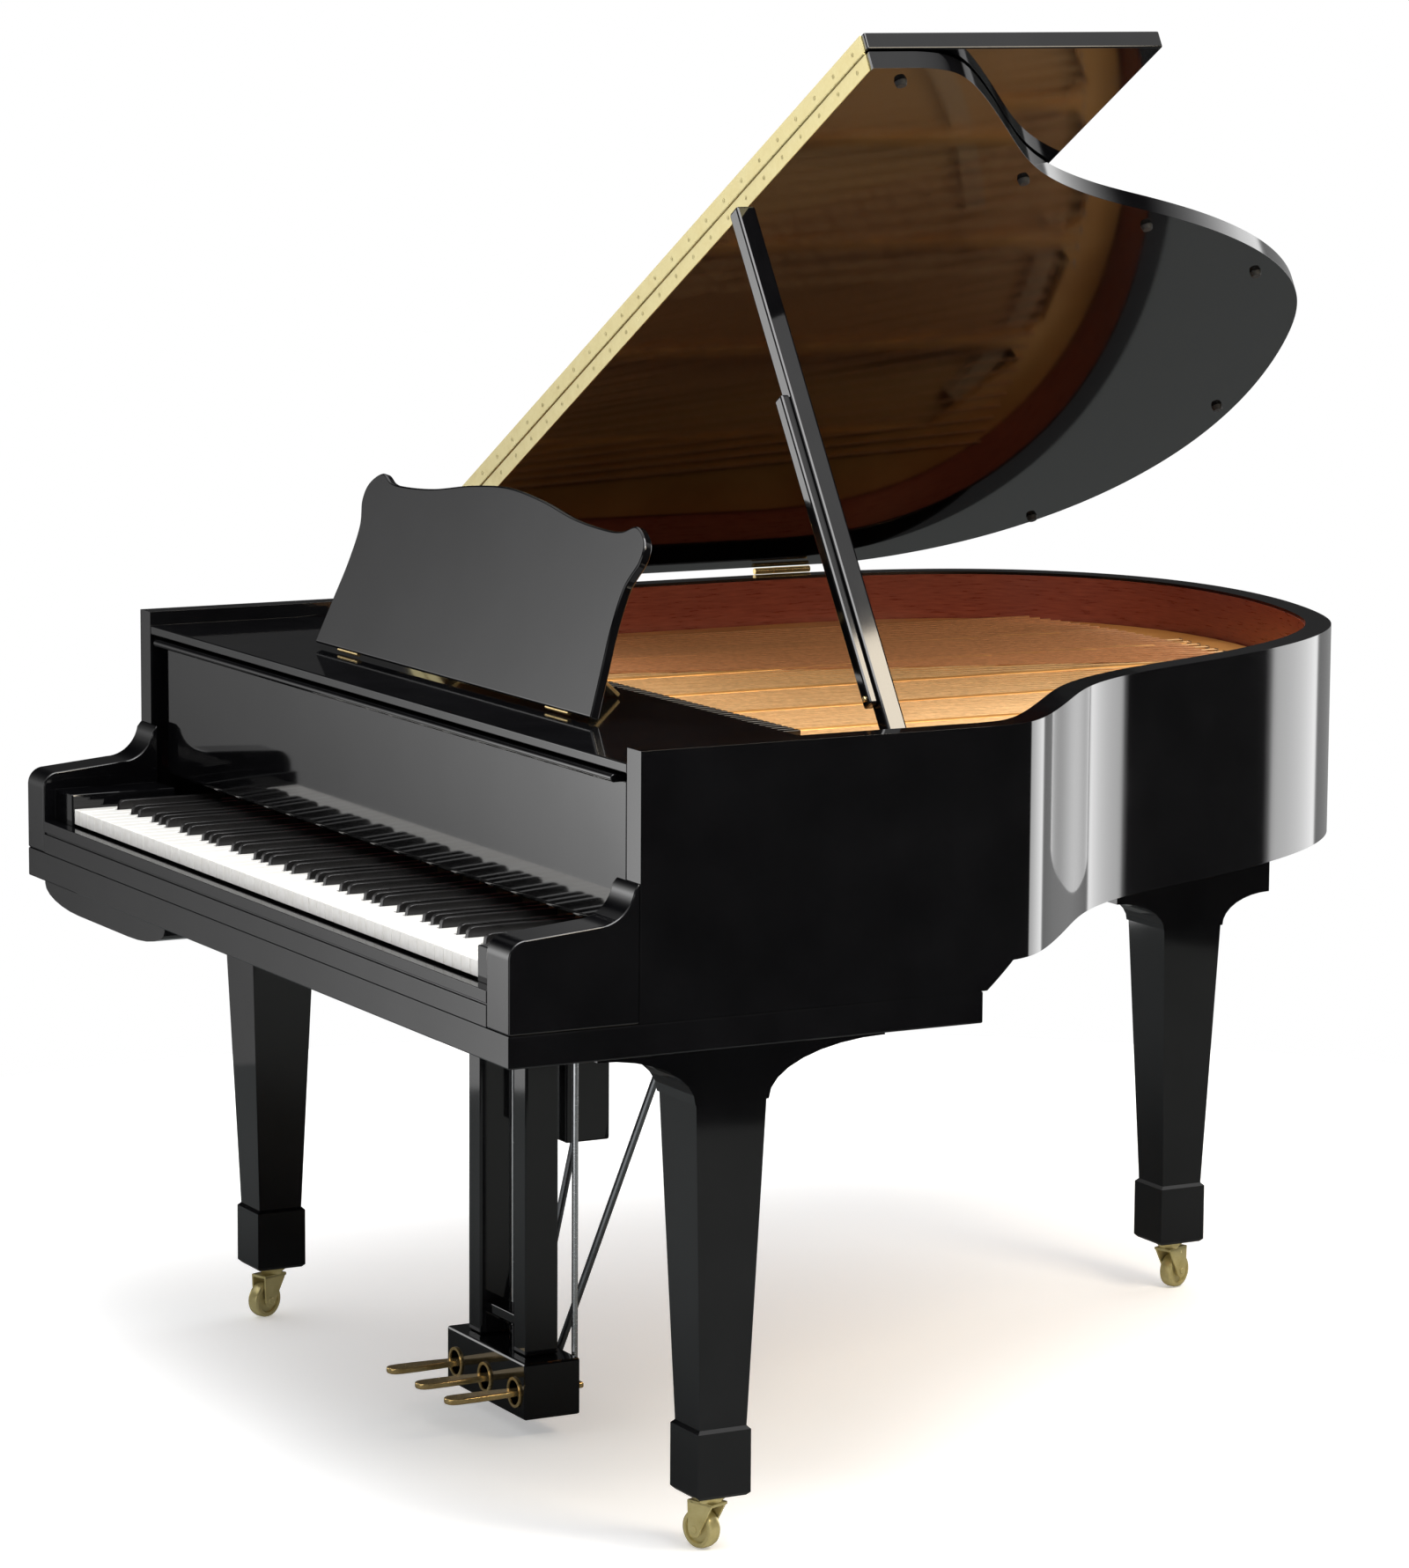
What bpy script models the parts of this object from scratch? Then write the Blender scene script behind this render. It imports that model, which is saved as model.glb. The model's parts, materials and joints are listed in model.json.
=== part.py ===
"""Baby grand piano, about 1.64 m long, with its lid and music desk raised.

Design frame: +X towards the treble end, +Y towards the tail, +Z up, floor at z = 0.
y = 0 is the front of the keybed and x = 0 the middle of the keyboard. The last step moves
everything so that the origin is the middle of the footprint's box, on the floor.
"""
import math

import bmesh
import bpy
from mathutils import Matrix, Vector

# Driving dimensions, metres
GAP = 0.0003
CASE_HALF = 0.730            # half width of the case
CASE_LENGTH = 1.635          # keybed front to tail
DRAWN_HALF = 0.730           # the half width and length that the curves below are drawn for
DRAWN_LENGTH = 1.635
RIM_TOP = 0.969
RIM_BOTTOM = 0.690
RIM_FRONT = 0.165            # where the arms end and the rim starts
CHEEK_END = 0.640            # where the straight treble side ends
RIM_THICK = 0.034
INNER_THICK = 0.036
INNER_BOTTOM = 0.700
INNER_TOP = RIM_TOP - 0.109
KEYBED_BOTTOM = 0.619
KEYBED_TOP = 0.657
KEYBED_BACK = 0.617
RAIL_THICK = 0.045           # belly rail
BELLY_RAIL_BACK = KEYBED_BACK - 0.012
RIM_STEP = KEYBED_BACK + 0.005   # the rim's lower edge slopes up from here
RIM_STEP_RUN = 0.038
ARM_WIDTH = 0.0578
ARM_INNER = CASE_HALF - ARM_WIDTH
ARM_TOP = 0.767
ARM_NOSE = 0.022             # radius of the rounded front
ARM_SWEEP = 0.046            # radius of the sweep up to the rim
BLOCK_TOP = 0.742
SLIP_DEPTH = 0.017
SLIP_TOP = 0.700
PANEL_EDGE = 0.002           # rounding of the case's flat boards

WHITE_PITCH = 1.225 / 52
KEY_GAP = 0.0009
KEY_FRONT = 0.020
KEY_TOP = 0.723
KEY_BOTTOM = 0.703
GROOVE_DEPTH = 0.004         # of the joints drawn between white keys
WHITE_BACK = 0.205
SHARP_FRONT = 0.070
SHARP_BACK = WHITE_BACK + 0.020
SHARP_TOP = 0.735
SHARP_WIDTH = 0.0105
SHARP_SIDE = 0.0008          # space beside a sharp
KEY_PIVOT = (0.240, 0.690)   # y, z of the balance pins
BOARD_GAP = 0.008            # from the sharps back to the name board
BOARD_THICK = 0.014

FALL_PIVOT = (0.185, 0.757)
FALL_REACH = 0.178
FALL_THICK = 0.014
FALL_LIP = 0.020
FALL_LIP_THICK = 0.0095
FALL_SIDE = 0.003            # between the fallboard and the arms

SHELF_TOP = RIM_TOP - 0.0185
SHELF_THICK = 0.012
SHELF_BACK = 0.450
SHELF_ARM_BACK = 0.470
SHELF_ARM_INNER = CASE_HALF - 0.140
SHELF_SIDE = 0.0008          # between the shelf and the rim
DESK_PIVOT = (0.280, SHELF_TOP + 0.0145)
DESK_HALF = 0.396
DESK_HEIGHT = 0.240
DESK_SHOULDER = 0.026        # how far the desk's shoulders stand below its middle
DESK_WAIST = 0.020           # how far its sides curve in below the corners
DESK_EAR = 0.011             # how far its corners stand above the shoulders
DESK_THICK = 0.012
DESK_LEAN = math.radians(20)
STRUT_X = 0.200
STRUT_UP = 0.080             # strut pivot, measured along the desk
STRUT_FOOT = 0.090           # how far its foot stands behind its hinge
STRUT_THICK = 0.005
STRUT_HALF = 0.010
STRUT_BEHIND = 0.009

LID_OPEN = math.radians(30.3)
LID_BOTTOM = RIM_TOP + 0.008
LID_THICK = 0.022
LID_OVERHANG = 0.010
LID_EDGE = 0.0015
LID_SPINE = -CASE_HALF - 0.0025
LID_AXIS = (-CASE_HALF - 0.008, RIM_TOP + 0.004)   # x, z of the lid hinge
HINGE_RADIUS = 0.0045
HINGE_HALF = 0.045           # half the length of each lid hinge
HINGE_DROP = 0.055           # how far its plate reaches down the rim
HINGE_PLATE = 0.003
HINGES = (0.760, 1.155)      # y of the lid hinges
FLAP_LINE = 0.565            # y of the joint between main lid and front flap
LEAF = 0.0015
LEAF_EDGE = 0.0005           # how far the leaves stop short of the lid's faces
KNUCKLE = 0.0016

BOARD_TOP = INNER_TOP + 0.0083   # soundboard
PLATE_TOP = RIM_TOP - 0.067
PLATE_THICK = 0.0125
PLATE_BOTTOM = PLATE_TOP - PLATE_THICK
PLATE_SIDE = 0.006           # between the iron plate and the rim
WINDOW_CORNER = 0.020
BRIDGE_WIDTH = 0.030

PROP_FOOT = (CASE_HALF - 0.075, 0.547, PLATE_TOP + 0.023)
PROP_TIP_X = 0.255
PROP_SLACK = 0.014           # between the prop's tip and the lid's plane
PROP_WIDTH = 0.026
PROP_DEPTH = 0.022
PROP_HEEL = 0.012            # below the foot's pin
HALF_PROP = (0.018, 0.012, 0.410)   # the short stick's width, depth and length
HALF_PROP_UP = 0.080         # its pin, measured along the prop
HALF_PROP_HEEL = 0.010

LEG_X = CASE_HALF - 0.095
LEG_Y = 0.310
TAIL_LEG = (-0.210, 1.490)
LEG_TOP = 0.545
TAIL_LEG_TOP = 0.520
LEG_HALF = 0.046             # half width at the top
ANKLE_HALF = 0.031           # half width above the foot
FOOT_EDGE = 0.004            # how far the foot stands out
FOOT_TOP = 0.150
BRACKET_HALF = 0.048         # half thickness of the coved brackets
BRACKET_SPAN = (0.175, 0.202)       # reach of the two front brackets, forward and back
TAIL_BRACKET_SPAN = (0.125, 0.124)
BRACKET_LIP = 0.012          # height of a front bracket's square ends
TAIL_BRACKET_LIP = 0.128
WHEEL_RADIUS = 0.024
CASTER_TOP = 2 * WHEEL_RADIUS + 0.022
WHEEL_WIDTH = 0.018
CASTER_TRAIL = 0.014
FORK_SIDE = 0.0015           # between the wheel and each cheek of its fork
FORK_CHEEK = 0.003
FORK_CROWN = 0.010
FORK_DISC = 0.020

LYRE_Y = 0.365
LYRE_POST = (0.036, 0.046)   # width and depth of each post
LYRE_POST_X = 0.065
LYRE_BLOCK = (0.220, 0.078, 0.044)        # width, depth and height of the block they hang from
LYRE_BOX = (0.226, 0.078, 0.027, 0.100)   # width, depth, bottom, top
LYRE_EDGE = 0.003
BRACE_RADIUS = 0.005
BRACE_FOOT = 0.034           # x of the treble brace's lower end
BRACE_HEAD = 0.115           # x of its upper end
PEDAL_SPACING = 0.085
PEDAL_TIP = 0.228
PEDAL_Z = 0.058
PEDAL_TOE = 0.013
PEDAL_SHANK = 0.008
PEDAL_HALF = 0.004           # half thickness
PEDAL_SLOT = (0.015, 0.016)  # half width and half height of each opening
ROD_Y = 0.410
ROD_RADIUS = 0.004

BOX_WIDTH = 0.410            # control box under the front of the keybed
BOX_SIDE = 0.050             # from the case's side to the box
BOX_FRONT = 0.004
BOX_DEPTH = 0.096
BOX_HEIGHT = 0.030
BOX_CORNER = (0.120, 0.026)  # width and height of its elliptical lower corners

BLACK = (0.006, 0.006, 0.007)
BRASS = (0.62, 0.42, 0.14)
STEEL = (0.55, 0.56, 0.58)
GOLD = (0.72, 0.47, 0.16)
SPRUCE = (0.72, 0.50, 0.26)
MAHOGANY = (0.20, 0.055, 0.035)
IVORY = (0.86, 0.85, 0.80)
EBONY = (0.012, 0.012, 0.012)

PARTS = bpy.data.collections.new("baby_grand_piano")
CUTTERS = bpy.data.collections.new("cutters")


# Helpers

def clear_scene():
    for obj in list(bpy.data.objects):
        bpy.data.objects.remove(obj, do_unlink=True)
    bpy.context.scene.collection.children.link(PARTS)
    bpy.context.scene.collection.children.link(CUTTERS)


def paint(obj, colour, roughness, metallic=0.0):
    material = bpy.data.materials.new(obj.name)
    material.use_nodes = True
    shader = material.node_tree.nodes["Principled BSDF"]
    shader.inputs["Base Color"].default_value = (*colour, 1.0)
    shader.inputs["Roughness"].default_value = roughness
    shader.inputs["Metallic"].default_value = metallic
    obj.data.materials.append(material)
    return obj


def black(obj):
    return paint(obj, BLACK, 0.06)


def brass(obj):
    return paint(obj, BRASS, 0.22, 1.0)


def add_object(name, mesh, collection=PARTS):
    obj = bpy.data.objects.new(name, mesh)
    collection.objects.link(obj)
    if collection is CUTTERS:
        obj.hide_render = True
        obj.display_type = "WIRE"
    return obj


def mesh_from(bm, name):
    bmesh.ops.recalc_face_normals(bm, faces=bm.faces)
    if bm.calc_volume(signed=True) < 0:
        bmesh.ops.reverse_faces(bm, faces=bm.faces)
    mesh = bpy.data.meshes.new(name)
    bm.to_mesh(mesh)
    bm.free()
    return mesh


def span_matrix(low, high):
    """Place a unit cube so that it fills the box from low to high."""
    centre = [(a + b) / 2 for a, b in zip(low, high)]
    size = [b - a for a, b in zip(low, high)]
    return Matrix.Translation(centre) @ Matrix.Diagonal((*size, 1.0))


def boxes(name, spans, collection=PARTS):
    bm = bmesh.new()
    for low, high in spans:
        bmesh.ops.create_cube(bm, size=1.0, matrix=span_matrix(low, high))
    return add_object(name, mesh_from(bm, name), collection)


def box(name, low, high, bevel=0.0):
    obj = boxes(name, [(low, high)])
    if bevel:
        round_edges(obj, bevel)
    return obj


def round_edges(obj, width, segments=2):
    modifier = obj.modifiers.new("rounded_edges", "BEVEL")
    modifier.width = width
    modifier.segments = segments
    modifier.limit_method = "ANGLE"
    return obj


def cylinder(name, radius, low, high, segments=24, collection=PARTS):
    """A cylinder from the point low to the point high."""
    start, end = Vector(low), Vector(high)
    axis = end - start
    turn = axis.to_track_quat("Z", "Y").to_matrix().to_4x4()
    bm = bmesh.new()
    bmesh.ops.create_cone(bm, cap_ends=True, segments=segments, radius1=radius, radius2=radius,
                          depth=axis.length, matrix=Matrix.Translation((start + end) / 2) @ turn)
    return add_object(name, mesh_from(bm, name), collection)


def slab(name, loops, thickness, matrix, collection=PARTS):
    """A flat outline with any holes, centred on its plane, as one closed mesh."""
    curve = bpy.data.curves.new(name, "CURVE")
    curve.dimensions = "2D"
    curve.fill_mode = "BOTH"
    curve.extrude = thickness / 2
    for loop in loops:
        spline = curve.splines.new("POLY")
        spline.points.add(len(loop) - 1)
        for point, (u, v) in zip(spline.points, loop):
            point.co = (u, v, 0.0, 1.0)
        spline.use_cyclic_u = True
    guide = bpy.data.objects.new(name + "_outline", curve)
    bpy.context.scene.collection.objects.link(guide)
    bpy.context.view_layer.update()
    evaluated = guide.evaluated_get(bpy.context.evaluated_depsgraph_get())
    mesh = bpy.data.meshes.new_from_object(evaluated)
    bm = bmesh.new()
    bm.from_mesh(mesh)
    bpy.data.meshes.remove(mesh)
    bpy.data.objects.remove(guide, do_unlink=True)
    bmesh.ops.remove_doubles(bm, verts=bm.verts, dist=0.00001)
    bm.transform(matrix)
    return add_object(name, mesh_from(bm, name), collection)


def level(z_low, z_high):
    """Matrix for a slab() outline given in plan, and its thickness."""
    return Matrix.Translation((0, 0, (z_low + z_high) / 2)), z_high - z_low


def plan_slab(name, loops, z_low, z_high, collection=PARTS):
    matrix, thickness = level(z_low, z_high)
    return slab(name, loops, thickness, matrix, collection)


def side_slab(name, loop, x_low, x_high, collection=PARTS):
    """An outline in (y, z), extruded along X."""
    turn = Matrix(((0, 0, 1, (x_low + x_high) / 2), (1, 0, 0, 0), (0, 1, 0, 0), (0, 0, 0, 1)))
    return slab(name, [loop], x_high - x_low, turn, collection)


def front_slab(name, loop, y_low, y_high, collection=PARTS):
    """An outline in (x, z), extruded along Y."""
    turn = Matrix(((1, 0, 0, 0), (0, 0, -1, (y_low + y_high) / 2), (0, 1, 0, 0), (0, 0, 0, 1)))
    return slab(name, [loop], y_high - y_low, turn, collection)


def boolean(obj, other, operation="DIFFERENCE"):
    modifier = obj.modifiers.new(other.name, "BOOLEAN")
    modifier.operation = operation
    modifier.object = other
    modifier.solver = "EXACT"
    return obj


def arc(centre, radius, start, end, steps=6):
    """Points on an arc, angles in degrees."""
    points = []
    for step in range(steps + 1):
        angle = math.radians(start + (end - start) * step / steps)
        points.append((centre[0] + radius * math.cos(angle), centre[1] + radius * math.sin(angle)))
    return points


def pivot_at(obj, point):
    """Put the object's origin on its joint axis."""
    obj.data.transform(Matrix.Translation(-Vector(point)))
    obj.location = point
    return obj


def hinge_empty(name, point):
    empty = bpy.data.objects.new(name, None)
    empty.location = point
    PARTS.objects.link(empty)
    bpy.context.view_layer.update()
    return empty


def hang(children, empty):
    """Parent pieces to an empty without moving them."""
    bpy.context.view_layer.update()
    for child in children:
        child.parent = empty
        child.matrix_parent_inverse = empty.matrix_world.inverted()


# Case outline

def on_case(points):
    """Stretch points drawn for the standard case to this one's width and length."""
    wide = CASE_HALF / DRAWN_HALF
    long = (CASE_LENGTH - CHEEK_END) / (DRAWN_LENGTH - CHEEK_END)
    return [(x * wide, CHEEK_END + (y - CHEEK_END) * (long if y > CHEEK_END else 1.0))
            for x, y in points]


def smooth(points, steps):
    """A Catmull-Rom curve through points, from the second one to the last but one."""
    result = []
    for a, b, c, d in zip(points, points[1:], points[2:], points[3:]):
        for step in range(steps):
            t = step / steps
            result.append(tuple(
                0.5 * (2 * q + (r - p) * t + (2 * p - 5 * q + 4 * r - s) * t * t
                       + (3 * q - p - 3 * r + s) * t ** 3)
                for p, q, r, s in zip(a, b, c, d)))
    result.append(points[-2])
    return result


def case_curve():
    """Outer line of the rim from the treble cheek round the tail to the spine."""
    half = DRAWN_HALF
    bentside = [(half, CHEEK_END - 0.10), (half, CHEEK_END), (0.705, 0.705), (0.600, 0.805),
                (0.472, 0.920), (0.392, 1.050), (0.340, 1.180), (0.280, 1.310)]
    tail = [(0.195, 1.440), (0.080, 1.545), (-0.080, 1.607), (-0.250, DRAWN_LENGTH),
            (-0.410, 1.622), (-0.550, 1.560), (-0.655, 1.450), (-0.713, 1.310)]
    spine = [(-half, 1.160), (-half, 1.000)]
    return smooth(on_case(bentside + tail + spine), 3)


def case_line(front=RIM_FRONT):
    return [(CASE_HALF, front)] + case_curve() + [(-CASE_HALF, front)]


def offset(line, distance):
    """Move an open line to its left by distance (the case's inside, as case_line runs)."""
    moved = []
    last = len(line) - 1
    for index, point in enumerate(line):
        before = Vector(line[max(index - 1, 0)])
        after = Vector(line[min(index + 1, last)])
        here = Vector(point)
        first = (here - before).normalized() if index else (after - here).normalized()
        second = (after - here).normalized() if index < last else first
        normal = Vector((-(first + second).y, (first + second).x)).normalized()
        stretch = max(normal.dot(Vector((-first.y, first.x))), 0.5)
        moved.append(tuple(here + normal * distance / stretch))
    return moved


def wall_outline(outer, thickness, front):
    """A closed U-shaped outline between two offsets of the case line."""
    line = case_line(front)
    return offset(line, outer) + offset(line, outer + thickness)[::-1]


def inside_outline(inset, front):
    return offset(case_line(front), inset)


# Case

def make_outer_rim():
    rim = plan_slab("outer_rim", [wall_outline(0.0, RIM_THICK, RIM_FRONT)],
                    KEYBED_TOP + GAP, RIM_TOP)
    under = side_slab("rim_step_cutter", [
        (RIM_STEP, KEYBED_BOTTOM), (CASE_LENGTH + RIM_THICK, KEYBED_BOTTOM),
        (CASE_LENGTH + RIM_THICK, RIM_BOTTOM), (RIM_STEP + RIM_STEP_RUN, RIM_BOTTOM),
        (RIM_STEP, KEYBED_TOP)], -2 * CASE_HALF, 2 * CASE_HALF, CUTTERS)
    boolean(rim, under)
    return black(rim)


def make_inner_rim():
    rim = plan_slab("inner_rim",
                    [wall_outline(RIM_THICK + GAP, INNER_THICK, BELLY_RAIL_BACK + GAP)],
                    INNER_BOTTOM, INNER_TOP)
    return paint(rim, MAHOGANY, 0.35)


def make_arm(name, side):
    clear = ARM_SWEEP + 0.006
    nose = arc((ARM_NOSE, ARM_TOP - ARM_NOSE - 0.002), ARM_NOSE, 180, 90, 5)
    sweep = arc((RIM_FRONT - clear, ARM_TOP + clear), ARM_SWEEP, 270, 350, 6)
    loop = [(0.0, KEYBED_TOP + GAP)] + nose + sweep
    loop += [(RIM_FRONT - GAP, RIM_TOP - 0.15), (RIM_FRONT - GAP, KEYBED_TOP + GAP)]
    low, high = sorted((side * ARM_INNER, side * CASE_HALF))
    return black(side_slab(name, loop, low, high))


def make_keybed():
    bed = box("keybed", (-CASE_HALF, 0.0, KEYBED_BOTTOM), (CASE_HALF, KEYBED_BACK, KEYBED_TOP),
              PANEL_EDGE)
    return black(bed)


def make_key_slip():
    half = ARM_INNER - GAP
    return black(box("key_slip", (-half, 0.0, KEYBED_TOP + GAP), (half, SLIP_DEPTH, SLIP_TOP),
                     PANEL_EDGE))


def make_key_block(name, side):
    inner = WHITE_PITCH * 26 + KEY_GAP
    low, high = sorted((side * inner, side * (ARM_INNER - GAP)))
    front = SLIP_DEPTH + GAP
    return black(box(name, (low, front, KEYBED_TOP + GAP), (high, RIM_FRONT, BLOCK_TOP), PANEL_EDGE))


def make_name_board():
    half = CASE_HALF - RIM_THICK - 0.001
    front = SHARP_BACK + BOARD_GAP
    top = SHELF_TOP - SHELF_THICK - 0.003
    return black(box("name_board", (-half, front, FALL_PIVOT[1]), (half, front + BOARD_THICK, top)))


def make_belly_rail():
    half = CASE_HALF - RIM_THICK - GAP
    rail = box("belly_rail", (-half, BELLY_RAIL_BACK - RAIL_THICK, KEYBED_TOP + GAP),
               (half, BELLY_RAIL_BACK, INNER_TOP))
    return paint(rail, MAHOGANY, 0.5)


def make_soundboard():
    outline = inside_outline(RIM_THICK + GAP, BELLY_RAIL_BACK - RAIL_THICK * 2 / 3)
    board = plan_slab("soundboard", [outline], INNER_TOP + GAP, BOARD_TOP)
    return paint(board, SPRUCE, 0.4)


def bar_outline(line, width):
    return offset(line, width / 2)[::-1] + offset(line, -width / 2)


def make_bridge(name, points):
    line = smooth(on_case(points), 4)
    top = PLATE_BOTTOM - 0.002
    bridge = plan_slab(name, [bar_outline(line, BRIDGE_WIDTH)], BOARD_TOP + GAP, top)
    return paint(bridge, MAHOGANY, 0.45)


def plate_window(left, right, front, back_left, back_right):
    """An opening of the iron plate between two of its bars, with rounded front corners."""
    corner = WINDOW_CORNER
    return on_case(arc((left + corner, front + corner), corner, 180, 270, 3)
                   + arc((right - corner, front + corner), corner, 270, 360, 3)
                   + [(right, back_right - corner), (right - corner, back_right),
                      (left + corner, back_left), (left, back_left - corner)])


def make_iron_plate():
    outline = inside_outline(RIM_THICK + PLATE_SIDE, WHITE_BACK + 0.070)
    windows = [plate_window(0.440, 0.580, 0.600, 0.830, 0.700),
               plate_window(0.280, 0.415, 0.600, 1.040, 0.870),
               plate_window(0.110, 0.255, 0.600, 1.360, 1.150),
               plate_window(-0.060, 0.085, 0.600, 1.500, 1.430),
               plate_window(-0.230, -0.085, 0.600, 1.530, 1.520),
               plate_window(-0.400, -0.255, 0.600, 1.520, 1.530),
               plate_window(-0.560, -0.425, 0.600, 1.410, 1.500)]
    plate = plan_slab("iron_plate", [outline] + windows, PLATE_BOTTOM, PLATE_TOP)
    return paint(plate, GOLD, 0.35, 0.8)


def make_case():
    make_outer_rim()
    make_inner_rim()
    make_arm("arm_bass", -1)
    make_arm("arm_treble", 1)
    make_keybed()
    make_key_slip()
    make_key_block("key_block_bass", -1)
    make_key_block("key_block_treble", 1)
    make_name_board()
    make_belly_rail()
    make_soundboard()
    make_bridge("treble_bridge", [(0.66, 0.60), (0.58, 0.66), (0.40, 0.80), (0.20, 1.02),
                                  (0.02, 1.24), (-0.20, 1.36), (-0.40, 1.42)])
    make_bridge("bass_bridge", [(-0.12, 1.52), (-0.22, 1.50), (-0.38, 1.49), (-0.52, 1.42),
                                (-0.60, 1.32)])
    make_iron_plate()


# Keys

def is_sharp_after(white):
    """True if a sharp lies between this white key and the next (white 0 is the lowest A)."""
    return white < 51 and white % 7 not in (1, 4)


def white_edge(white):
    """x of the bass edge of a white key."""
    return (white - 26) * WHITE_PITCH


def sharp_span(white):
    centre = white_edge(white + 1)
    return centre - SHARP_WIDTH / 2, centre + SHARP_WIDTH / 2


def key_cutters(name, first, last):
    """Grooves between white keys and the notches that the sharps stand in."""
    clear = 0.010
    spans = []
    for white in range(first - 1, last + 1):
        edge = white_edge(white + 1)
        groove_back = WHITE_BACK + clear
        if is_sharp_after(white) and white >= 0:
            low, high = sharp_span(white)
            spans.append(((low - SHARP_SIDE, SHARP_FRONT - 0.001, KEY_BOTTOM - clear),
                          (high + SHARP_SIDE, WHITE_BACK + clear, KEY_TOP + clear)))
            groove_back = SHARP_FRONT - 2 * SHARP_SIDE
        if first - 1 < white < last:
            spans.append(((edge - KEY_GAP / 2, KEY_FRONT - clear, KEY_TOP - GROOVE_DEPTH),
                          (edge + KEY_GAP / 2, groove_back, KEY_TOP + clear)))
    return boxes(name, spans, CUTTERS)


def make_white_keys(name, first, last):
    low_x = white_edge(first) + KEY_GAP / 2
    high_x = white_edge(last + 1) - KEY_GAP / 2
    keys = box(name, (low_x, KEY_FRONT, KEY_BOTTOM), (high_x, WHITE_BACK, KEY_TOP))
    boolean(keys, key_cutters(name + "_cutters", first, last))
    middle = (low_x + high_x) / 2
    pivot_at(keys, (middle, *KEY_PIVOT))
    return paint(keys, IVORY, 0.2)


def sharp_profile():
    """Side view of a sharp: sloping front, flat top and a tail behind the white keys."""
    back = SHARP_BACK - GAP
    return [(SHARP_FRONT, KEY_BOTTOM), (back, KEY_BOTTOM), (back, SHARP_TOP),
            (SHARP_FRONT + 0.009, SHARP_TOP), (SHARP_FRONT + 0.003, SHARP_TOP - 0.003)]


def make_sharps(name, first, last):
    """Sharps after the white keys first to last, joined by a rail behind the white keys."""
    whites = [white for white in range(first, last + 1) if is_sharp_after(white)]
    low_x, high_x = sharp_span(whites[0])[0], sharp_span(whites[-1])[1]
    if len(whites) == 1:
        sharps = side_slab(name, sharp_profile(), low_x, high_x)
    else:
        sharps = box(name, (low_x, WHITE_BACK + 0.004, KEY_BOTTOM), (high_x, SHARP_BACK, SHARP_TOP))
        add_sharp_bodies(sharps, whites)
    pivot_at(sharps, ((low_x + high_x) / 2, *KEY_PIVOT))
    return paint(sharps, EBONY, 0.3)


def add_sharp_bodies(sharps, whites):
    bodies = side_slab(sharps.name + "_bodies", sharp_profile(), *sharp_span(whites[0]), CUTTERS)
    bm = bmesh.new()
    for white in whites:
        step = Matrix.Translation((white_edge(white + 1) - white_edge(whites[0] + 1), 0, 0))
        copy = bodies.data.copy()
        copy.transform(step)
        bm.from_mesh(copy)
        bpy.data.meshes.remove(copy)
    bm.to_mesh(bodies.data)
    bm.free()
    boolean(sharps, bodies, "UNION")


def make_keys():
    make_white_keys("white_keys_bass", 0, 22)
    make_white_keys("white_key_c4", 23, 23)
    make_white_keys("white_key_d4", 24, 24)
    make_white_keys("white_keys_treble", 25, 51)
    make_sharps("sharps_bass", 0, 22)
    make_sharps("sharp_c4", 23, 23)
    make_sharps("sharps_treble", 24, 51)


# Fallboard, music shelf and desk

def make_fallboard():
    y, z = FALL_PIVOT
    half_thick = FALL_THICK / 2
    top = z + FALL_REACH
    loop = arc((y, z), half_thick, 180, 360, 8)
    lip = y - half_thick - FALL_LIP
    loop += [(y + half_thick, top), (lip, top), (lip, top - FALL_LIP_THICK),
             (y - half_thick, top - FALL_LIP_THICK)]
    half = ARM_INNER - FALL_SIDE
    board = side_slab("fallboard", loop, -half, half)
    pivot_at(board, (0, y, z))
    return black(board)


def make_music_shelf():
    half = CASE_HALF - RIM_THICK - SHELF_SIDE
    inner = SHELF_ARM_INNER
    back = SHELF_ARM_BACK
    nose = half - inner
    loop = [(-half, RIM_FRONT), (half, RIM_FRONT), (half, back - nose)]
    loop += arc((inner, back - nose), nose, 0, 90, 6)
    loop += [(inner, SHELF_BACK), (-inner, SHELF_BACK)]
    loop += arc((-inner, back - nose), nose, 90, 180, 6)
    shelf = plan_slab("music_shelf", [loop], SHELF_TOP - SHELF_THICK, SHELF_TOP)
    return black(shelf)


def desk_outline():
    """Front view of the desk, u across and v up from its hinge: a low hump between two ears."""
    half, top = DESK_HALF, DESK_HEIGHT
    waist = half - DESK_WAIST
    shoulder = top - DESK_SHOULDER
    right = [(half, -0.020), (half, -0.010), (half - 0.010, 0.045), (waist, 0.100), (waist, 0.150),
             (half - 0.003, shoulder - 0.030), (half - 0.008, shoulder - 0.005),
             (half - 0.038, shoulder + DESK_EAR), (half - 0.070, shoulder + 0.002),
             (0.285, shoulder), (0.200, shoulder + 0.005), (0.100, top - 0.007), (0.0, top)]
    curve = smooth(right + [(-0.100, top - 0.007)], 3)
    return curve + [(-u, v) for u, v in reversed(curve[:-1])]


def make_music_desk():
    y, z = DESK_PIVOT
    desk = front_slab("music_desk", desk_outline(), -DESK_THICK / 2, DESK_THICK / 2)
    desk.location = (0, y, z)
    desk.rotation_euler = (-DESK_LEAN, 0, 0)
    return black(desk)


def strut_pivot():
    """y, z of the strut's hinge behind the leaning desk."""
    sin, cos = math.sin(DESK_LEAN), math.cos(DESK_LEAN)
    y = DESK_PIVOT[0] + STRUT_UP * sin + STRUT_BEHIND * cos
    z = DESK_PIVOT[1] + STRUT_UP * cos - STRUT_BEHIND * sin
    return y, z


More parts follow.
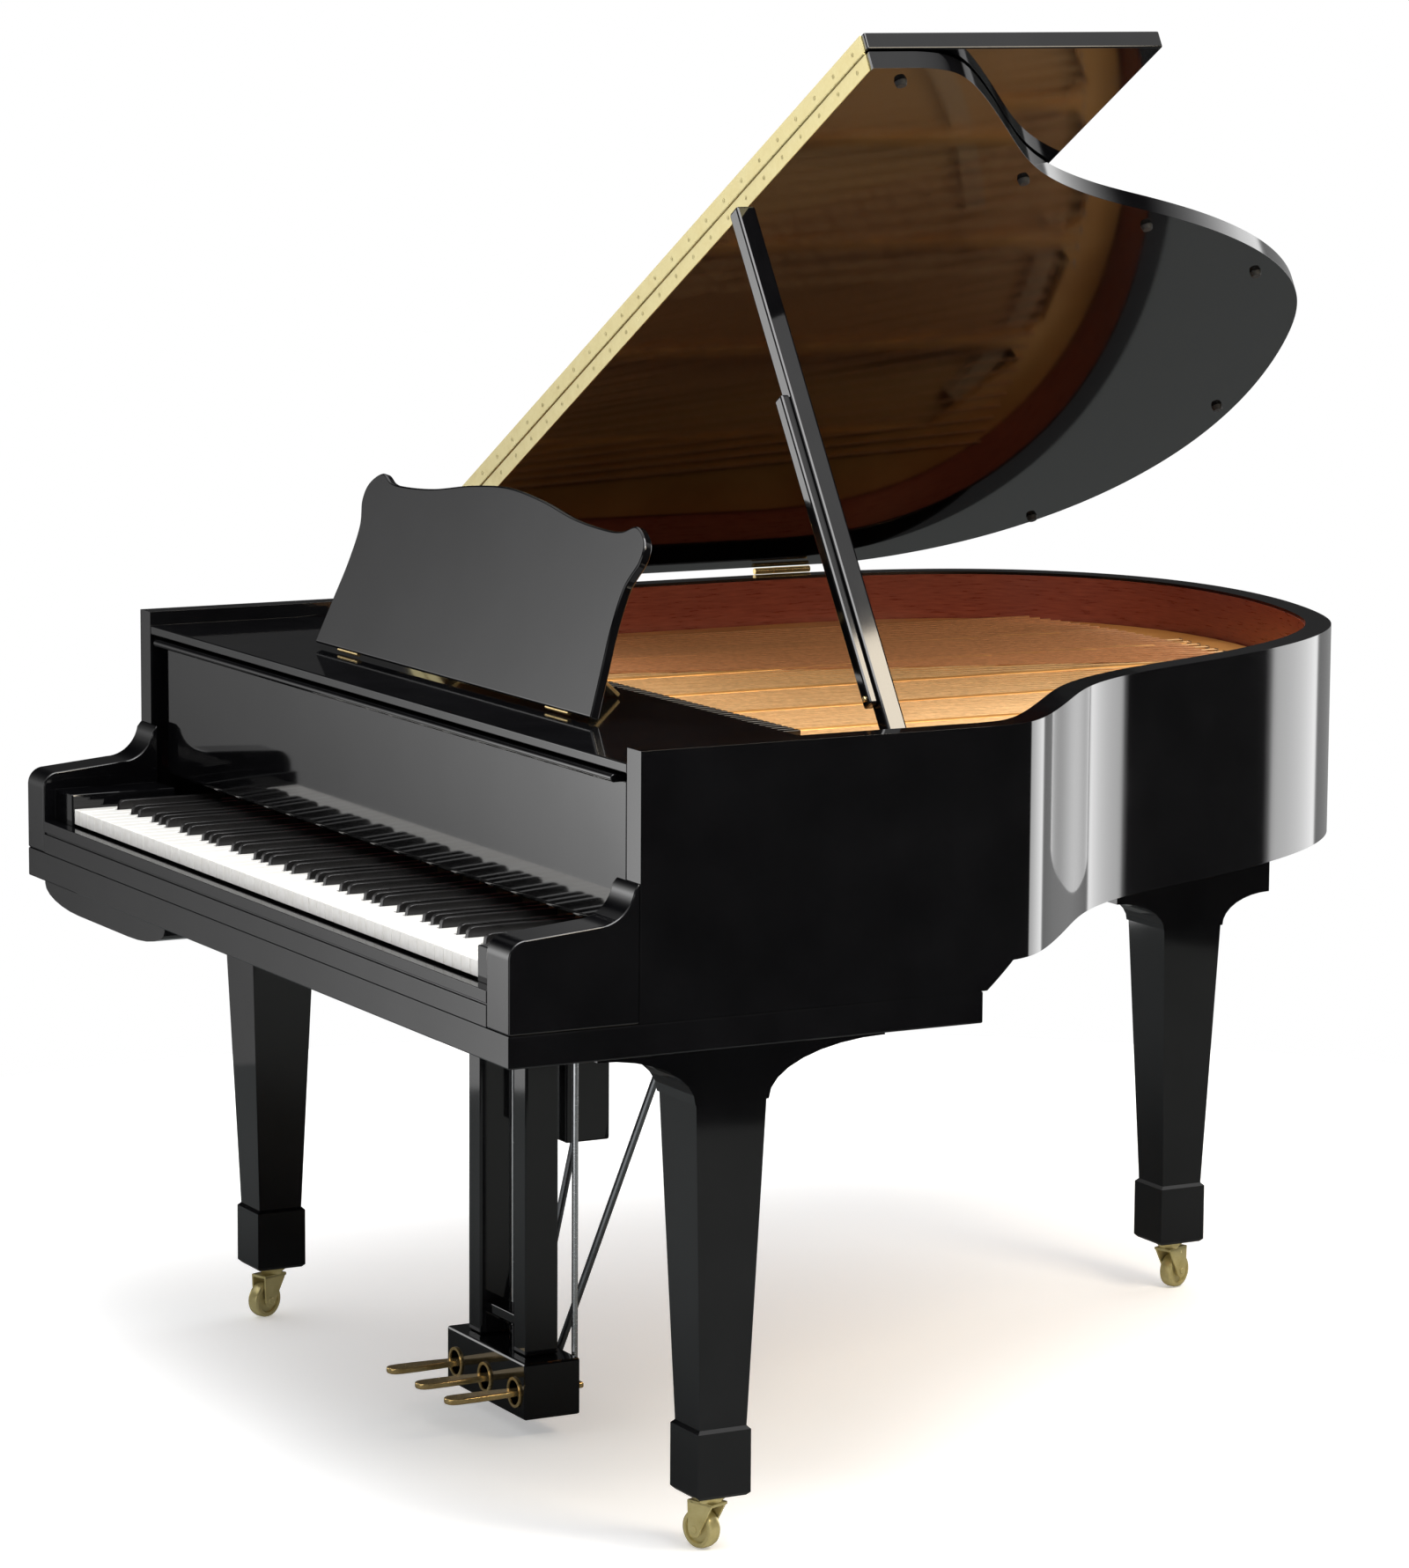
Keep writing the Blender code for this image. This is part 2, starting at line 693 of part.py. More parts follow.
def make_desk_strut(name, x):
    """Flat brass strut from behind the desk down to the shelf."""
    y, z = strut_pivot()
    drop = z - SHELF_TOP - STRUT_THICK * 0.6
    length = math.hypot(STRUT_FOOT, drop)
    thick = STRUT_THICK / 2
    strut = box(name, (-STRUT_HALF, 0.0, -thick), (STRUT_HALF, length, thick), 0.001)
    strut.location = (x, y, z)
    strut.rotation_euler = (-math.atan2(drop, STRUT_FOOT), 0, 0)
    return brass(strut)


def make_front_fittings():
    make_fallboard()
    make_music_shelf()
    make_music_desk()
    make_desk_strut("desk_strut_bass", -STRUT_X)
    make_desk_strut("desk_strut_treble", STRUT_X)


# Lid

def lid_line(front):
    line = offset(case_line(front), -LID_OVERHANG)
    return [(max(x, LID_SPINE), y) for x, y in line]


def flap_hinge_axis():
    """y, z of the pin between main lid and flap, with the lid closed."""
    return FLAP_LINE, LID_BOTTOM + LID_THICK + KNUCKLE + 0.0002


def make_lid_main():
    front = FLAP_LINE + LEAF + 2 * GAP
    lid = plan_slab("lid_main", [lid_line(front)], LID_BOTTOM, LID_BOTTOM + LID_THICK)
    return black(round_edges(lid, LID_EDGE, 1))


def make_lid_flap():
    back = FLAP_LINE - LEAF - 2 * GAP
    low = (LID_SPINE, RIM_FRONT - LID_OVERHANG, LID_BOTTOM)
    high = (CASE_HALF + LID_OVERHANG, back, LID_BOTTOM + LID_THICK)
    flap = box("lid_flap", low, high, LID_EDGE)
    return black(pivot_at(flap, (0, *flap_hinge_axis())))


def make_flap_leaf(name, side, with_knuckle):
    """Brass hinge leaf covering one edge of the joint; side is +1 for the main lid."""
    axis_y, axis_z = flap_hinge_axis()
    low, high = LID_SPINE + 0.005, CASE_HALF + 0.003
    near, far = side * GAP, side * (GAP + LEAF)
    bottom, top = LID_BOTTOM + LEAF_EDGE, LID_BOTTOM + LID_THICK - LEAF_EDGE
    if with_knuckle:
        ring = arc((axis_y, axis_z), KNUCKLE, -30, 280, 10)
        loop = [(axis_y + near, bottom), (axis_y + far, bottom)] + ring
    else:
        loop = [(axis_y + near, bottom), (axis_y + far, bottom),
                (axis_y + far, top), (axis_y + near, top)]
    leaf = side_slab(name, loop, low, high)
    return brass(pivot_at(leaf, (0, axis_y, axis_z)))


def make_lid_hinge(name, y):
    """Butt hinge on the spine: a plate on the rim with the barrel that the lid turns on."""
    x, z = LID_AXIS
    face = -CASE_HALF - GAP
    bottom = RIM_TOP - HINGE_DROP
    loop = [(face, bottom), (face, z - HINGE_RADIUS - GAP)]
    loop += arc((x, z), HINGE_RADIUS, -30, 200, 8)
    loop += [(face - HINGE_PLATE, RIM_TOP - 0.012), (face - HINGE_PLATE, bottom)]
    return brass(front_slab(name, loop, y - HINGE_HALF, y + HINGE_HALF))


def make_lid():
    main = make_lid_main()
    flap = make_lid_flap()
    main_leaf = make_flap_leaf("flap_hinge_lid_leaf", 1, True)
    flap_leaf = make_flap_leaf("flap_hinge_flap_leaf", -1, False)
    lid_pivot = hinge_empty("lid_hinge_axis", (LID_AXIS[0], 0, LID_AXIS[1]))
    flap_pivot = hinge_empty("flap_hinge_axis", (0, *flap_hinge_axis()))
    hang([flap, flap_leaf], flap_pivot)
    hang([main, main_leaf, flap_pivot], lid_pivot)
    flap_pivot.rotation_euler = (math.pi, 0, 0)
    lid_pivot.rotation_euler = (0, -LID_OPEN, 0)
    for where, y in zip(("front", "rear"), HINGES):
        make_lid_hinge("lid_hinge_" + where, y)


# Lid prop

def prop_tip():
    """The prop's upper end: just under the lid's underside plane."""
    x = PROP_TIP_X
    along = (x - LID_AXIS[0]) * math.tan(LID_OPEN)
    under = (LID_BOTTOM - LID_AXIS[1]) / math.cos(LID_OPEN)
    return Vector((x, PROP_FOOT[1], LID_AXIS[1] + along + under - PROP_SLACK))


def prop_frame(shift):
    """Matrix with local Z along the prop, local Y across the swing, at its foot pivot."""
    direction = (prop_tip() - Vector(PROP_FOOT)).normalized()
    across = Vector((0, 1, 0))
    third = across.cross(direction)
    turn = Matrix((third, across, direction)).transposed().to_4x4()
    return Matrix.Translation(PROP_FOOT) @ turn @ Matrix.Translation(shift)


def prop_length():
    return (prop_tip() - Vector(PROP_FOOT)).length


def make_prop():
    prop = box("lid_prop", (-PROP_DEPTH / 2, -PROP_WIDTH / 2, -PROP_HEEL),
               (PROP_DEPTH / 2, PROP_WIDTH / 2, prop_length()), 0.003)
    prop.matrix_world = prop_frame((0, 0, 0))
    return black(prop)


def make_half_prop():
    """A short stick on the long one's front face, for holding the lid half open."""
    width, depth, length = HALF_PROP
    low = (-width / 2, -depth / 2, -HALF_PROP_HEEL)
    half = box("half_prop", low, (width / 2, depth / 2, length - HALF_PROP_HEEL), 0.003)
    half.matrix_world = prop_frame((0, -PROP_WIDTH / 2 - depth / 2 - 0.001, HALF_PROP_UP))
    return black(half)


def make_prop_bracket():
    x, y, z = PROP_FOOT
    wall = CASE_HALF - RIM_THICK - GAP
    half = 0.022
    low = (x + PROP_DEPTH, y - half, PLATE_TOP + 2 * GAP)
    bracket = box("prop_bracket", low, (wall, y + half, z + PROP_HEEL), 0.002)
    return brass(bracket)


def make_lid_prop():
    make_prop()
    make_half_prop()
    make_prop_bracket()


# Legs and casters

def make_leg(name, x, y, top):
    """Square tapered leg on a slightly wider foot, turned in four steps."""
    foot = ANKLE_HALF + FOOT_EDGE
    profile = [(LEG_HALF, top), (ANKLE_HALF, FOOT_TOP + FOOT_EDGE), (foot, FOOT_TOP),
               (foot, CASTER_TOP + FOOT_EDGE), (ANKLE_HALF, CASTER_TOP)]
    mesh = bpy.data.meshes.new(name)
    bm = bmesh.new()
    corner = math.sqrt(2)
    rim = [bm.verts.new((half * corner, 0, z)) for half, z in profile]
    ends = [bm.verts.new((0, 0, profile[0][1]))] + rim + [bm.verts.new((0, 0, profile[-1][1]))]
    for upper, lower in zip(ends, ends[1:]):
        bm.edges.new((upper, lower))
    bm.to_mesh(mesh)
    bm.free()
    leg = add_object(name, mesh)
    leg.location = (x, y, 0)
    leg.rotation_euler = (0, 0, math.radians(45))
    screw = leg.modifiers.new("four_sides", "SCREW")
    screw.steps = 4
    screw.render_steps = 4
    screw.use_merge_vertices = True
    screw.merge_threshold = 0.00005
    screw.use_smooth_shade = False
    return black(leg)


def cove(half_leg, reach, bottom, drop):
    """Hollow curve from the leg's side out to reach, starting at height bottom."""
    points = []
    for step in range(9):
        angle = math.radians(90 * step / 8)
        out = (reach - half_leg) * (1 - math.cos(angle))
        points.append((half_leg + out, bottom + drop * math.sin(angle)))
    return points


def make_leg_bracket(name, x, y, top, bottom, spans, lip):
    """Coved bracket above a leg: wide at the top, as wide as the leg below."""
    forward, back = spans
    drop = top - bottom - lip
    right = [(y + back, top)]
    right += [(y + u, v) for u, v in reversed(cove(BRACKET_HALF, back, bottom, drop))]
    left = [(y - u, v) for u, v in cove(BRACKET_HALF, forward, bottom, drop)]
    loop = right + left + [(y - forward, top)]
    return black(side_slab(name, loop, x - BRACKET_HALF, x + BRACKET_HALF))


def make_caster_fork(name, x, y, trail):
    """Brass fork under a leg, turned by trail degrees about its upright pin."""
    top = CASTER_TOP - GAP
    inner = WHEEL_WIDTH / 2 + FORK_SIDE
    outer = inner + FORK_CHEEK
    crown = top - FORK_CROWN
    ear = WHEEL_RADIUS - FORK_CROWN
    disc = cylinder(name + "_disc", FORK_DISC, (0, 0, crown - 0.004), (0, 0, top), 20, CUTTERS)
    loop = [(-outer, ear), (-inner, ear), (-inner, crown - 0.005), (inner, crown - 0.005),
            (inner, ear), (outer, ear), (outer, crown), (-outer, crown)]
    fork = front_slab(name, loop, CASTER_TRAIL - 0.030, CASTER_TRAIL + 0.012)
    boolean(fork, disc, "UNION")
    turn = Matrix.Translation((x, y, 0)) @ Matrix.Rotation(math.radians(trail), 4, "Z")
    disc.matrix_world = turn
    fork.matrix_world = turn
    return brass(fork)


def make_caster_wheel(name, x, y, trail):
    """Brass wheel on its axle between the fork's cheeks."""
    half = WHEEL_WIDTH / 2
    wheel = cylinder(name, WHEEL_RADIUS, (-half, 0, 0), (half, 0, 0), 32)
    round_edges(wheel, 0.002, 2)
    turn = Matrix.Rotation(math.radians(trail), 4, "Z")
    spot = Vector((x, y, WHEEL_RADIUS)) + turn @ Vector((0, CASTER_TRAIL, 0))
    wheel.matrix_world = Matrix.Translation(spot) @ turn
    return brass(wheel)


def make_legs():
    under_bed = KEYBED_BOTTOM - GAP
    under_rim = RIM_BOTTOM - GAP
    tail_x, tail_y = on_case([TAIL_LEG])[0]
    for where, x, y, trail in (("bass", -LEG_X, LEG_Y, 200), ("treble", LEG_X, LEG_Y, 110),
                               ("tail", tail_x, tail_y, 20)):
        if where == "tail":
            top, mount, spans, lip = TAIL_LEG_TOP, under_rim, TAIL_BRACKET_SPAN, TAIL_BRACKET_LIP
        else:
            top, mount, spans, lip = LEG_TOP, under_bed, BRACKET_SPAN, BRACKET_LIP
        make_leg("leg_" + where, x, y, top - GAP)
        make_leg_bracket("leg_bracket_" + where, x, y, mount, top, spans, lip)
        make_caster_fork("caster_fork_" + where, x, y, trail)
        make_caster_wheel("caster_wheel_" + where, x, y, trail)


# Pedal lyre

def make_lyre_box():
    width, depth, bottom, top = LYRE_BOX
    low = (-width / 2, LYRE_Y - depth / 2, bottom)
    body = box("lyre_box", low, (width / 2, LYRE_Y + depth / 2, top), LYRE_EDGE)
    across, up = PEDAL_SLOT
    slots = []
    for index in (-1, 0, 1):
        x = index * PEDAL_SPACING
        slots.append(((x - across, LYRE_Y - depth, PEDAL_Z - up),
                      (x + across, LYRE_Y + depth, PEDAL_Z + up)))
    boolean(body, boxes("pedal_slots", slots, CUTTERS))
    return black(body)


def make_pedal(name, x):
    """Brass pedal with a round toe, a narrow shank and a tail behind the box."""
    toe, shank = PEDAL_TOE, PEDAL_SHANK
    back = ROD_Y + 0.010
    loop = arc((0, PEDAL_TIP + toe), toe, 180, 360, 8)
    loop += [(toe, PEDAL_TIP + 0.070), (shank, PEDAL_TIP + 0.095), (shank, back),
             (-shank, back), (-shank, PEDAL_TIP + 0.095), (-toe, PEDAL_TIP + 0.070)]
    pedal = plan_slab(name, [loop], PEDAL_Z - PEDAL_HALF, PEDAL_Z + PEDAL_HALF)
    round_edges(pedal, 0.0015, 2)
    pedal.data.transform(Matrix.Translation((0, -LYRE_Y, -PEDAL_Z)))
    pedal.location = (x, LYRE_Y, PEDAL_Z)
    return brass(pedal)


def make_pedal_rod(name, x):
    foot = PEDAL_Z + PEDAL_HALF + 2 * GAP
    rod = cylinder(name, ROD_RADIUS, (x, ROD_Y, foot), (x, ROD_Y, KEYBED_BOTTOM - 0.010), 12)
    return brass(pivot_at(rod, (x, ROD_Y, PEDAL_Z)))


def make_lyre_brace(name, side):
    """Metal stay from the back of the lyre box up to the keybed."""
    _, depth, _, top = LYRE_BOX
    low = (side * BRACE_FOOT, LYRE_Y + depth / 2 + BRACE_RADIUS + 0.002, top - 0.015)
    high = (side * BRACE_HEAD, KEYBED_BACK - 0.042, KEYBED_BOTTOM - 0.004)
    return paint(cylinder(name, BRACE_RADIUS, low, high, 12), STEEL, 0.25, 1.0)


def make_lyre():
    _, _, _, top = LYRE_BOX
    width, depth, height = LYRE_BLOCK
    block_bottom = KEYBED_BOTTOM - height
    black(box("lyre_block", (-width / 2, LYRE_Y - depth / 2, block_bottom),
              (width / 2, LYRE_Y + depth / 2, KEYBED_BOTTOM - GAP), LYRE_EDGE))
    across, deep = LYRE_POST[0] / 2, LYRE_POST[1] / 2
    for name, x in (("lyre_post_bass", -LYRE_POST_X), ("lyre_post_treble", LYRE_POST_X)):
        black(box(name, (x - across, LYRE_Y - deep, top + GAP),
                  (x + across, LYRE_Y + deep, block_bottom - GAP), LYRE_EDGE))
    make_lyre_box()
    for where, index in (("soft", -1), ("sostenuto", 0), ("damper", 1)):
        make_pedal("pedal_" + where, index * PEDAL_SPACING)
        make_pedal_rod("pedal_rod_" + where, index * PEDAL_SPACING)
    make_lyre_brace("lyre_brace_bass", -1)
    make_lyre_brace("lyre_brace_treble", 1)


def make_control_box():
    """Thin boat-shaped case hung under the front of the keybed at the bass end."""
    left = BOX_SIDE - CASE_HALF
    right = left + BOX_WIDTH
    top = KEYBED_BOTTOM - GAP
    wide, tall = BOX_CORNER
    low = KEYBED_BOTTOM - BOX_HEIGHT
    corner = [(wide * (1 - u), low + tall * (1 - v)) for u, v in arc((0, 0), 1.0, 0, 90, 6)]
    loop = [(left, top)] + [(left + u, v) for u, v in corner]
    loop += [(right - u, v) for u, v in reversed(corner)] + [(right, top)]
    return black(front_slab("control_box", loop, BOX_FRONT, BOX_FRONT + BOX_DEPTH))


# Final placement

def centre_on_floor():
    """Move everything so that the origin is the bottom middle of the piano's box."""
    bpy.context.view_layer.update()
    graph = bpy.context.evaluated_depsgraph_get()
    corners = []
    for obj in PARTS.objects:
        if obj.type == "MESH":
            shape = obj.evaluated_get(graph)
            corners += [obj.matrix_world @ vertex.co for vertex in shape.data.vertices]
    middle_x = (min(c.x for c in corners) + max(c.x for c in corners)) / 2
    middle_y = (min(c.y for c in corners) + max(c.y for c in corners)) / 2
    lowest = min(c.z for c in corners)
    shift = Matrix.Translation((-middle_x, -middle_y, -lowest))
    for obj in list(PARTS.objects) + list(CUTTERS.objects):
        if obj.parent is None:
            obj.matrix_world = shift @ obj.matrix_world


clear_scene()
make_case()
make_keys()
make_front_fittings()
make_lid()
make_lid_prop()
make_legs()
make_lyre()
make_control_box()
centre_on_floor()
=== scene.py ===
"""Looks for the baby grand piano: fine surfaces, keys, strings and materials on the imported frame."""
import json
import math

import bmesh
import bpy
from mathutils import Matrix, Vector


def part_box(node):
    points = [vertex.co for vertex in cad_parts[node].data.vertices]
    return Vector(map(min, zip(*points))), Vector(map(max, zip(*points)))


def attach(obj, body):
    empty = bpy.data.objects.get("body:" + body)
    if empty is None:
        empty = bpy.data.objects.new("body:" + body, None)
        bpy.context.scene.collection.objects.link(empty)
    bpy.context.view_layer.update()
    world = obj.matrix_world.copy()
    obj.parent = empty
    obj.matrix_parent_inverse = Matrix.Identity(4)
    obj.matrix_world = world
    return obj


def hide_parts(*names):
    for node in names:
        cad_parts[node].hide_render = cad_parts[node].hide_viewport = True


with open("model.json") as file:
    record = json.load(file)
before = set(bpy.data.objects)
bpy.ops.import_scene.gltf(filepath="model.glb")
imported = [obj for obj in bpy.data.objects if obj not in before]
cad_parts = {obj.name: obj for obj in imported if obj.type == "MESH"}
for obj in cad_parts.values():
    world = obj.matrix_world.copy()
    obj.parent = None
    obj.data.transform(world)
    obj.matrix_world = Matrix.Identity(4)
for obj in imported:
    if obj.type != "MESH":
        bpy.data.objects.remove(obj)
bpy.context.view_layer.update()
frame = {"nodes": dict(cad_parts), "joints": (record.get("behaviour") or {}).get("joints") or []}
NODES = frame["nodes"]
JOINTS = {joint["name"]: joint for joint in frame["joints"]}


def low(node):
    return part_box(node)[0]


def high(node):
    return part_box(node)[1]


# Places and sizes, read from the frame. The working frame has x = 0 at the middle of the
# keyboard and y = 0 at the front of the keybed; TO_WORLD moves it to the row frame.
CENTRE_X = (low("keybed").x + high("keybed").x) / 2
FRONT_Y = low("keybed").y
TO_WORLD = Matrix.Translation((CENTRE_X, FRONT_Y, 0))
CASE_HALF = (high("keybed").x - low("keybed").x) / 2
TAIL = high("outer_rim").y - FRONT_Y
RIM_FRONT = low("outer_rim").y - FRONT_Y
RIM_TOP = high("outer_rim").z
RIM_THICK = 0.034
RIM_BOTTOM = 0.690
ARM_INNER = low("arm_treble").x - CENTRE_X
ARM_BASE = low("arm_treble").z
CHEEK_END = 0.640
PLATE_TOP = high("iron_plate").z
PLATE_BOTTOM = low("iron_plate").z

KEY_TOP = high("white_key_c4").z
KEY_BOTTOM = low("white_key_c4").z
KEY_FRONT = low("white_key_c4").y - FRONT_Y
WHITE_BACK = high("white_key_c4").y - FRONT_Y
SHARP_FRONT = low("sharp_c4").y - FRONT_Y
SHARP_BACK = high("sharp_c4").y - FRONT_Y
SHARP_TOP = high("sharp_c4").z
SHARP_WIDTH = high("sharp_c4").x - low("sharp_c4").x
WHITE_PITCH = (high("white_keys_treble").x - low("white_keys_bass").x + 0.0009) / 52
KEY_GAP = 0.0009

LID_AXIS = Vector(JOINTS["lid_hinge"]["pos_m"]) - Vector((CENTRE_X, FRONT_Y, 0))
LID_OPEN = math.radians(-JOINTS["lid_hinge"]["range_deg"][0])
LID_BOTTOM = LID_AXIS.z + 0.004
LID_THICK = 0.022
LID_TOP = LID_BOTTOM + LID_THICK
LID_OVERHANG = 0.010
LID_SPINE = -CASE_HALF - 0.0025
FLAP_LINE = JOINTS["flap_hinge"]["pos_m"][1] - FRONT_Y
FLAP_PIN_Z = LID_TOP + 0.0018

DESK_HALF = 0.396
DESK_TOP = 0.240               # above the desk's hinge line
DESK_WAIST = 0.020
DESK_SHOULDER = 0.026
SHELF_ARM_INNER = 0.590
SHELF_MIDDLE_BACK = 0.450
LIP_RADIUS = 0.00475           # half the thickness of the fallboard's lip
DAMPERS = 66
OPEN_LID = (Matrix.Translation(LID_AXIS) @ Matrix.Rotation(-LID_OPEN, 4, "Y")
            @ Matrix.Translation(-LID_AXIS))
FLAP_PIN = Matrix.Translation((0, FLAP_LINE, FLAP_PIN_Z))
FOLD_FLAP = FLAP_PIN @ Matrix.Rotation(math.pi, 4, "X") @ FLAP_PIN.inverted()


SHARP_ANGLE = math.radians(35)


def soften(mesh):
    """Shade smoothly, with edges sharper than SHARP_ANGLE left crisp."""
    mesh.shade_smooth()
    mesh.set_sharp_from_angle(angle=SHARP_ANGLE)


# Materials

def new_material(name, colour, roughness, metallic=0.0):
    material = bpy.data.materials.new(name)
    material.use_nodes = True
    shader = material.node_tree.nodes["Principled BSDF"]
    shader.inputs["Base Color"].default_value = (*colour, 1.0)
    shader.inputs["Roughness"].default_value = roughness
    shader.inputs["Metallic"].default_value = metallic
    return material, material.node_tree, shader


def add_node(tree, kind, **values):
    node = tree.nodes.new(kind)
    for name, value in values.items():
        node.inputs[name.replace("_", " ")].default_value = value
    return node


def object_coordinates(tree, scale=(1, 1, 1), rotation=(0, 0, 0)):
    coordinates = tree.nodes.new("ShaderNodeTexCoord")
    mapping = tree.nodes.new("ShaderNodeMapping")
    mapping.inputs["Scale"].default_value = scale
    mapping.inputs["Rotation"].default_value = rotation
    tree.links.new(coordinates.outputs["Object"], mapping.inputs["Vector"])
    return mapping.outputs["Vector"]


def noise(tree, where, **values):
    """A noise texture at the given coordinates; returns its 0..1 value."""
    node = add_node(tree, "ShaderNodeTexNoise", **values)
    tree.links.new(where, node.inputs["Vector"])
    return node.outputs["Fac"]


def ramp(tree, factor, stops):
    """A colour ramp from (position, colour) stops."""
    node = tree.nodes.new("ShaderNodeValToRGB")
    elements = node.color_ramp.elements
    while len(elements) < len(stops):
        elements.new(0.5)
    for element, (position, colour) in zip(elements, stops):
        element.position = position
        element.color = (*colour, 1.0)
    tree.links.new(factor, node.inputs["Fac"])
    return node.outputs["Color"]


def span(tree, factor, lowest, highest):
    """Map 0..1 to lowest..highest."""
    node = tree.nodes.new("ShaderNodeMapRange")
    node.inputs["To Min"].default_value = lowest
    node.inputs["To Max"].default_value = highest
    tree.links.new(factor, node.inputs["Value"])
    return node.outputs["Result"]


def tint(tree, shader, factor, stops):
    tree.links.new(ramp(tree, factor, stops), shader.inputs["Base Color"])


def roughen(tree, shader, factor, lowest, highest):
    tree.links.new(span(tree, factor, lowest, highest), shader.inputs["Roughness"])


def add_bump(tree, shader, height, strength, distance):
    bump = tree.nodes.new("ShaderNodeBump")
    bump.inputs["Strength"].default_value = strength
    bump.inputs["Distance"].default_value = distance
    tree.links.new(height, bump.inputs["Height"])
    tree.links.new(bump.outputs["Normal"], shader.inputs["Normal"])


def lacquer_material():
    """Black polyester: near-mirror gloss, a faint waviness and fine handling haze."""
    material, tree, shader = new_material("black_lacquer", (0.003, 0.003, 0.0034), 0.03)
    where = object_coordinates(tree)
    haze = noise(tree, where, Scale=9.0, Detail=6.0, Roughness=0.6)
    wave = noise(tree, where, Scale=11.0, Detail=1.0)
    roughen(tree, shader, haze, 0.03, 0.085)
    tint(tree, shader, haze, [(0.3, (0.0015, 0.0015, 0.0018)), (0.8, (0.004, 0.004, 0.0046))])
    add_bump(tree, shader, wave, 0.03, 0.0003)
    return material


def brass_material(name, dull, bright, metallic):
    material, tree, shader = new_material(name, bright, 0.2, metallic)
    where = object_coordinates(tree)
    tarnish = noise(tree, where, Scale=35.0, Detail=5.0, Roughness=0.65)
    tint(tree, shader, tarnish, [(0.25, dull), (0.7, bright)])
    roughen(tree, shader, tarnish, 0.14, 0.34)
    add_bump(tree, shader, tarnish, 0.08, 0.0003)
    return material


def steel_material(name, colour, roughness, metallic=1.0):
    material, tree, shader = new_material(name, colour, roughness, metallic)
    where = object_coordinates(tree, (1, 1, 6))
    grain = noise(tree, where, Scale=120.0, Detail=3.0)
    roughen(tree, shader, grain, roughness * 0.7, roughness * 1.5)
    darker = tuple(value * 0.72 for value in colour)
    tint(tree, shader, grain, [(0.3, darker), (0.7, colour)])
    return material


def gold_iron_material():
    """Cast iron under bronze-gold lacquer: sand-cast grain and a soft metallic sheen."""
    material, tree, shader = new_material("gold_iron", (0.74, 0.36, 0.10), 0.36, 0.30)
    where = object_coordinates(tree)
    cast = noise(tree, where, Scale=420.0, Detail=4.0, Roughness=0.7)
    cloud = noise(tree, where, Scale=7.0, Detail=4.0)
    tint(tree, shader, cloud, [(0.3, (0.60, 0.27, 0.07)), (0.75, (0.86, 0.44, 0.13))])
    roughen(tree, shader, cast, 0.24, 0.42)
    add_bump(tree, shader, cast, 0.25, 0.0004)
    return material


def wood_material(name, dark, light, scale, roughness, turn=0.0):
    """Straight-grained wood: stretched noise for the pores, soft bands for the growth rings."""
    material, tree, shader = new_material(name, light, roughness)
    where = object_coordinates(tree, scale, (0, 0, turn))
    rings = add_node(tree, "ShaderNodeTexWave", Scale=6.0, Distortion=3.5, Detail=3.0)
    rings.wave_type = "BANDS"
    rings.bands_direction = "X"
    pores = noise(tree, where, Scale=60.0, Detail=5.0, Roughness=0.7)
    tree.links.new(where, rings.inputs["Vector"])
    mix = tree.nodes.new("ShaderNodeMath")
    mix.operation = "MULTIPLY"
    tree.links.new(rings.outputs["Fac"], mix.inputs[0])
    tree.links.new(pores, mix.inputs[1])
    tint(tree, shader, mix.outputs["Value"], [(0.05, dark), (0.65, light)])
    roughen(tree, shader, pores, roughness * 0.7, roughness * 1.3)
    add_bump(tree, shader, pores, 0.12, 0.0003)
    return material


def streaked_material(name, dark, light, roughness, scale=(1, 0.15, 1)):
    """Smooth material with faint streaks along one axis: key covers, veneer."""
    material, tree, shader = new_material(name, light, roughness)
    where = object_coordinates(tree, scale)
    streak = noise(tree, where, Scale=90.0, Detail=4.0)
    tint(tree, shader, streak, [(0.25, dark), (0.75, light)])
    roughen(tree, shader, streak, roughness * 0.8, roughness * 1.3)
    return material


def felt_material(name, colour):
    material, tree, shader = new_material(name, colour, 0.95)
    where = object_coordinates(tree)
    fuzz = noise(tree, where, Scale=650.0, Detail=6.0, Roughness=0.8)
    darker = tuple(value * 0.5 for value in colour)
    tint(tree, shader, fuzz, [(0.3, darker), (0.7, colour)])
    add_bump(tree, shader, fuzz, 0.5, 0.0008)
    shader.inputs["Sheen Weight"].default_value = 0.4
    return material


def rubber_material():
    material, tree, shader = new_material("rubber", (0.02, 0.02, 0.02), 0.7)
    where = object_coordinates(tree)
    grain = noise(tree, where, Scale=300.0, Detail=3.0)
    roughen(tree, shader, grain, 0.55, 0.85)
    add_bump(tree, shader, grain, 0.2, 0.0003)
    return material


LACQUER = lacquer_material()
BRASS = brass_material("polished_brass", (0.62, 0.42, 0.15), (0.92, 0.70, 0.34), 0.85)
PALE_BRASS = brass_material("pale_brass", (0.46, 0.38, 0.15), (0.64, 0.56, 0.27), 0.5)
STEEL = steel_material("bright_steel", (0.62, 0.63, 0.65), 0.22)
DARK_STEEL = steel_material("dark_steel", (0.20, 0.21, 0.22), 0.3)
# Treble string steel tinted warm gold: a painted reflection of the gold plate under the strings.
PAINTED_REFLECTION_STRING_STEEL = steel_material("string_steel_painted_reflection", (0.78, 0.48, 0.22), 0.35, 0.4)
COPPER = steel_material("string_copper", (0.62, 0.29, 0.13), 0.35, 0.4)
GOLD_IRON = gold_iron_material()
SPRUCE = wood_material("spruce", (0.46, 0.22, 0.07), (0.78, 0.46, 0.18), (40, 3, 1), 0.38, 0.6)
BEECH = wood_material("beech", (0.42, 0.26, 0.13), (0.70, 0.50, 0.30), (30, 30, 4), 0.55)
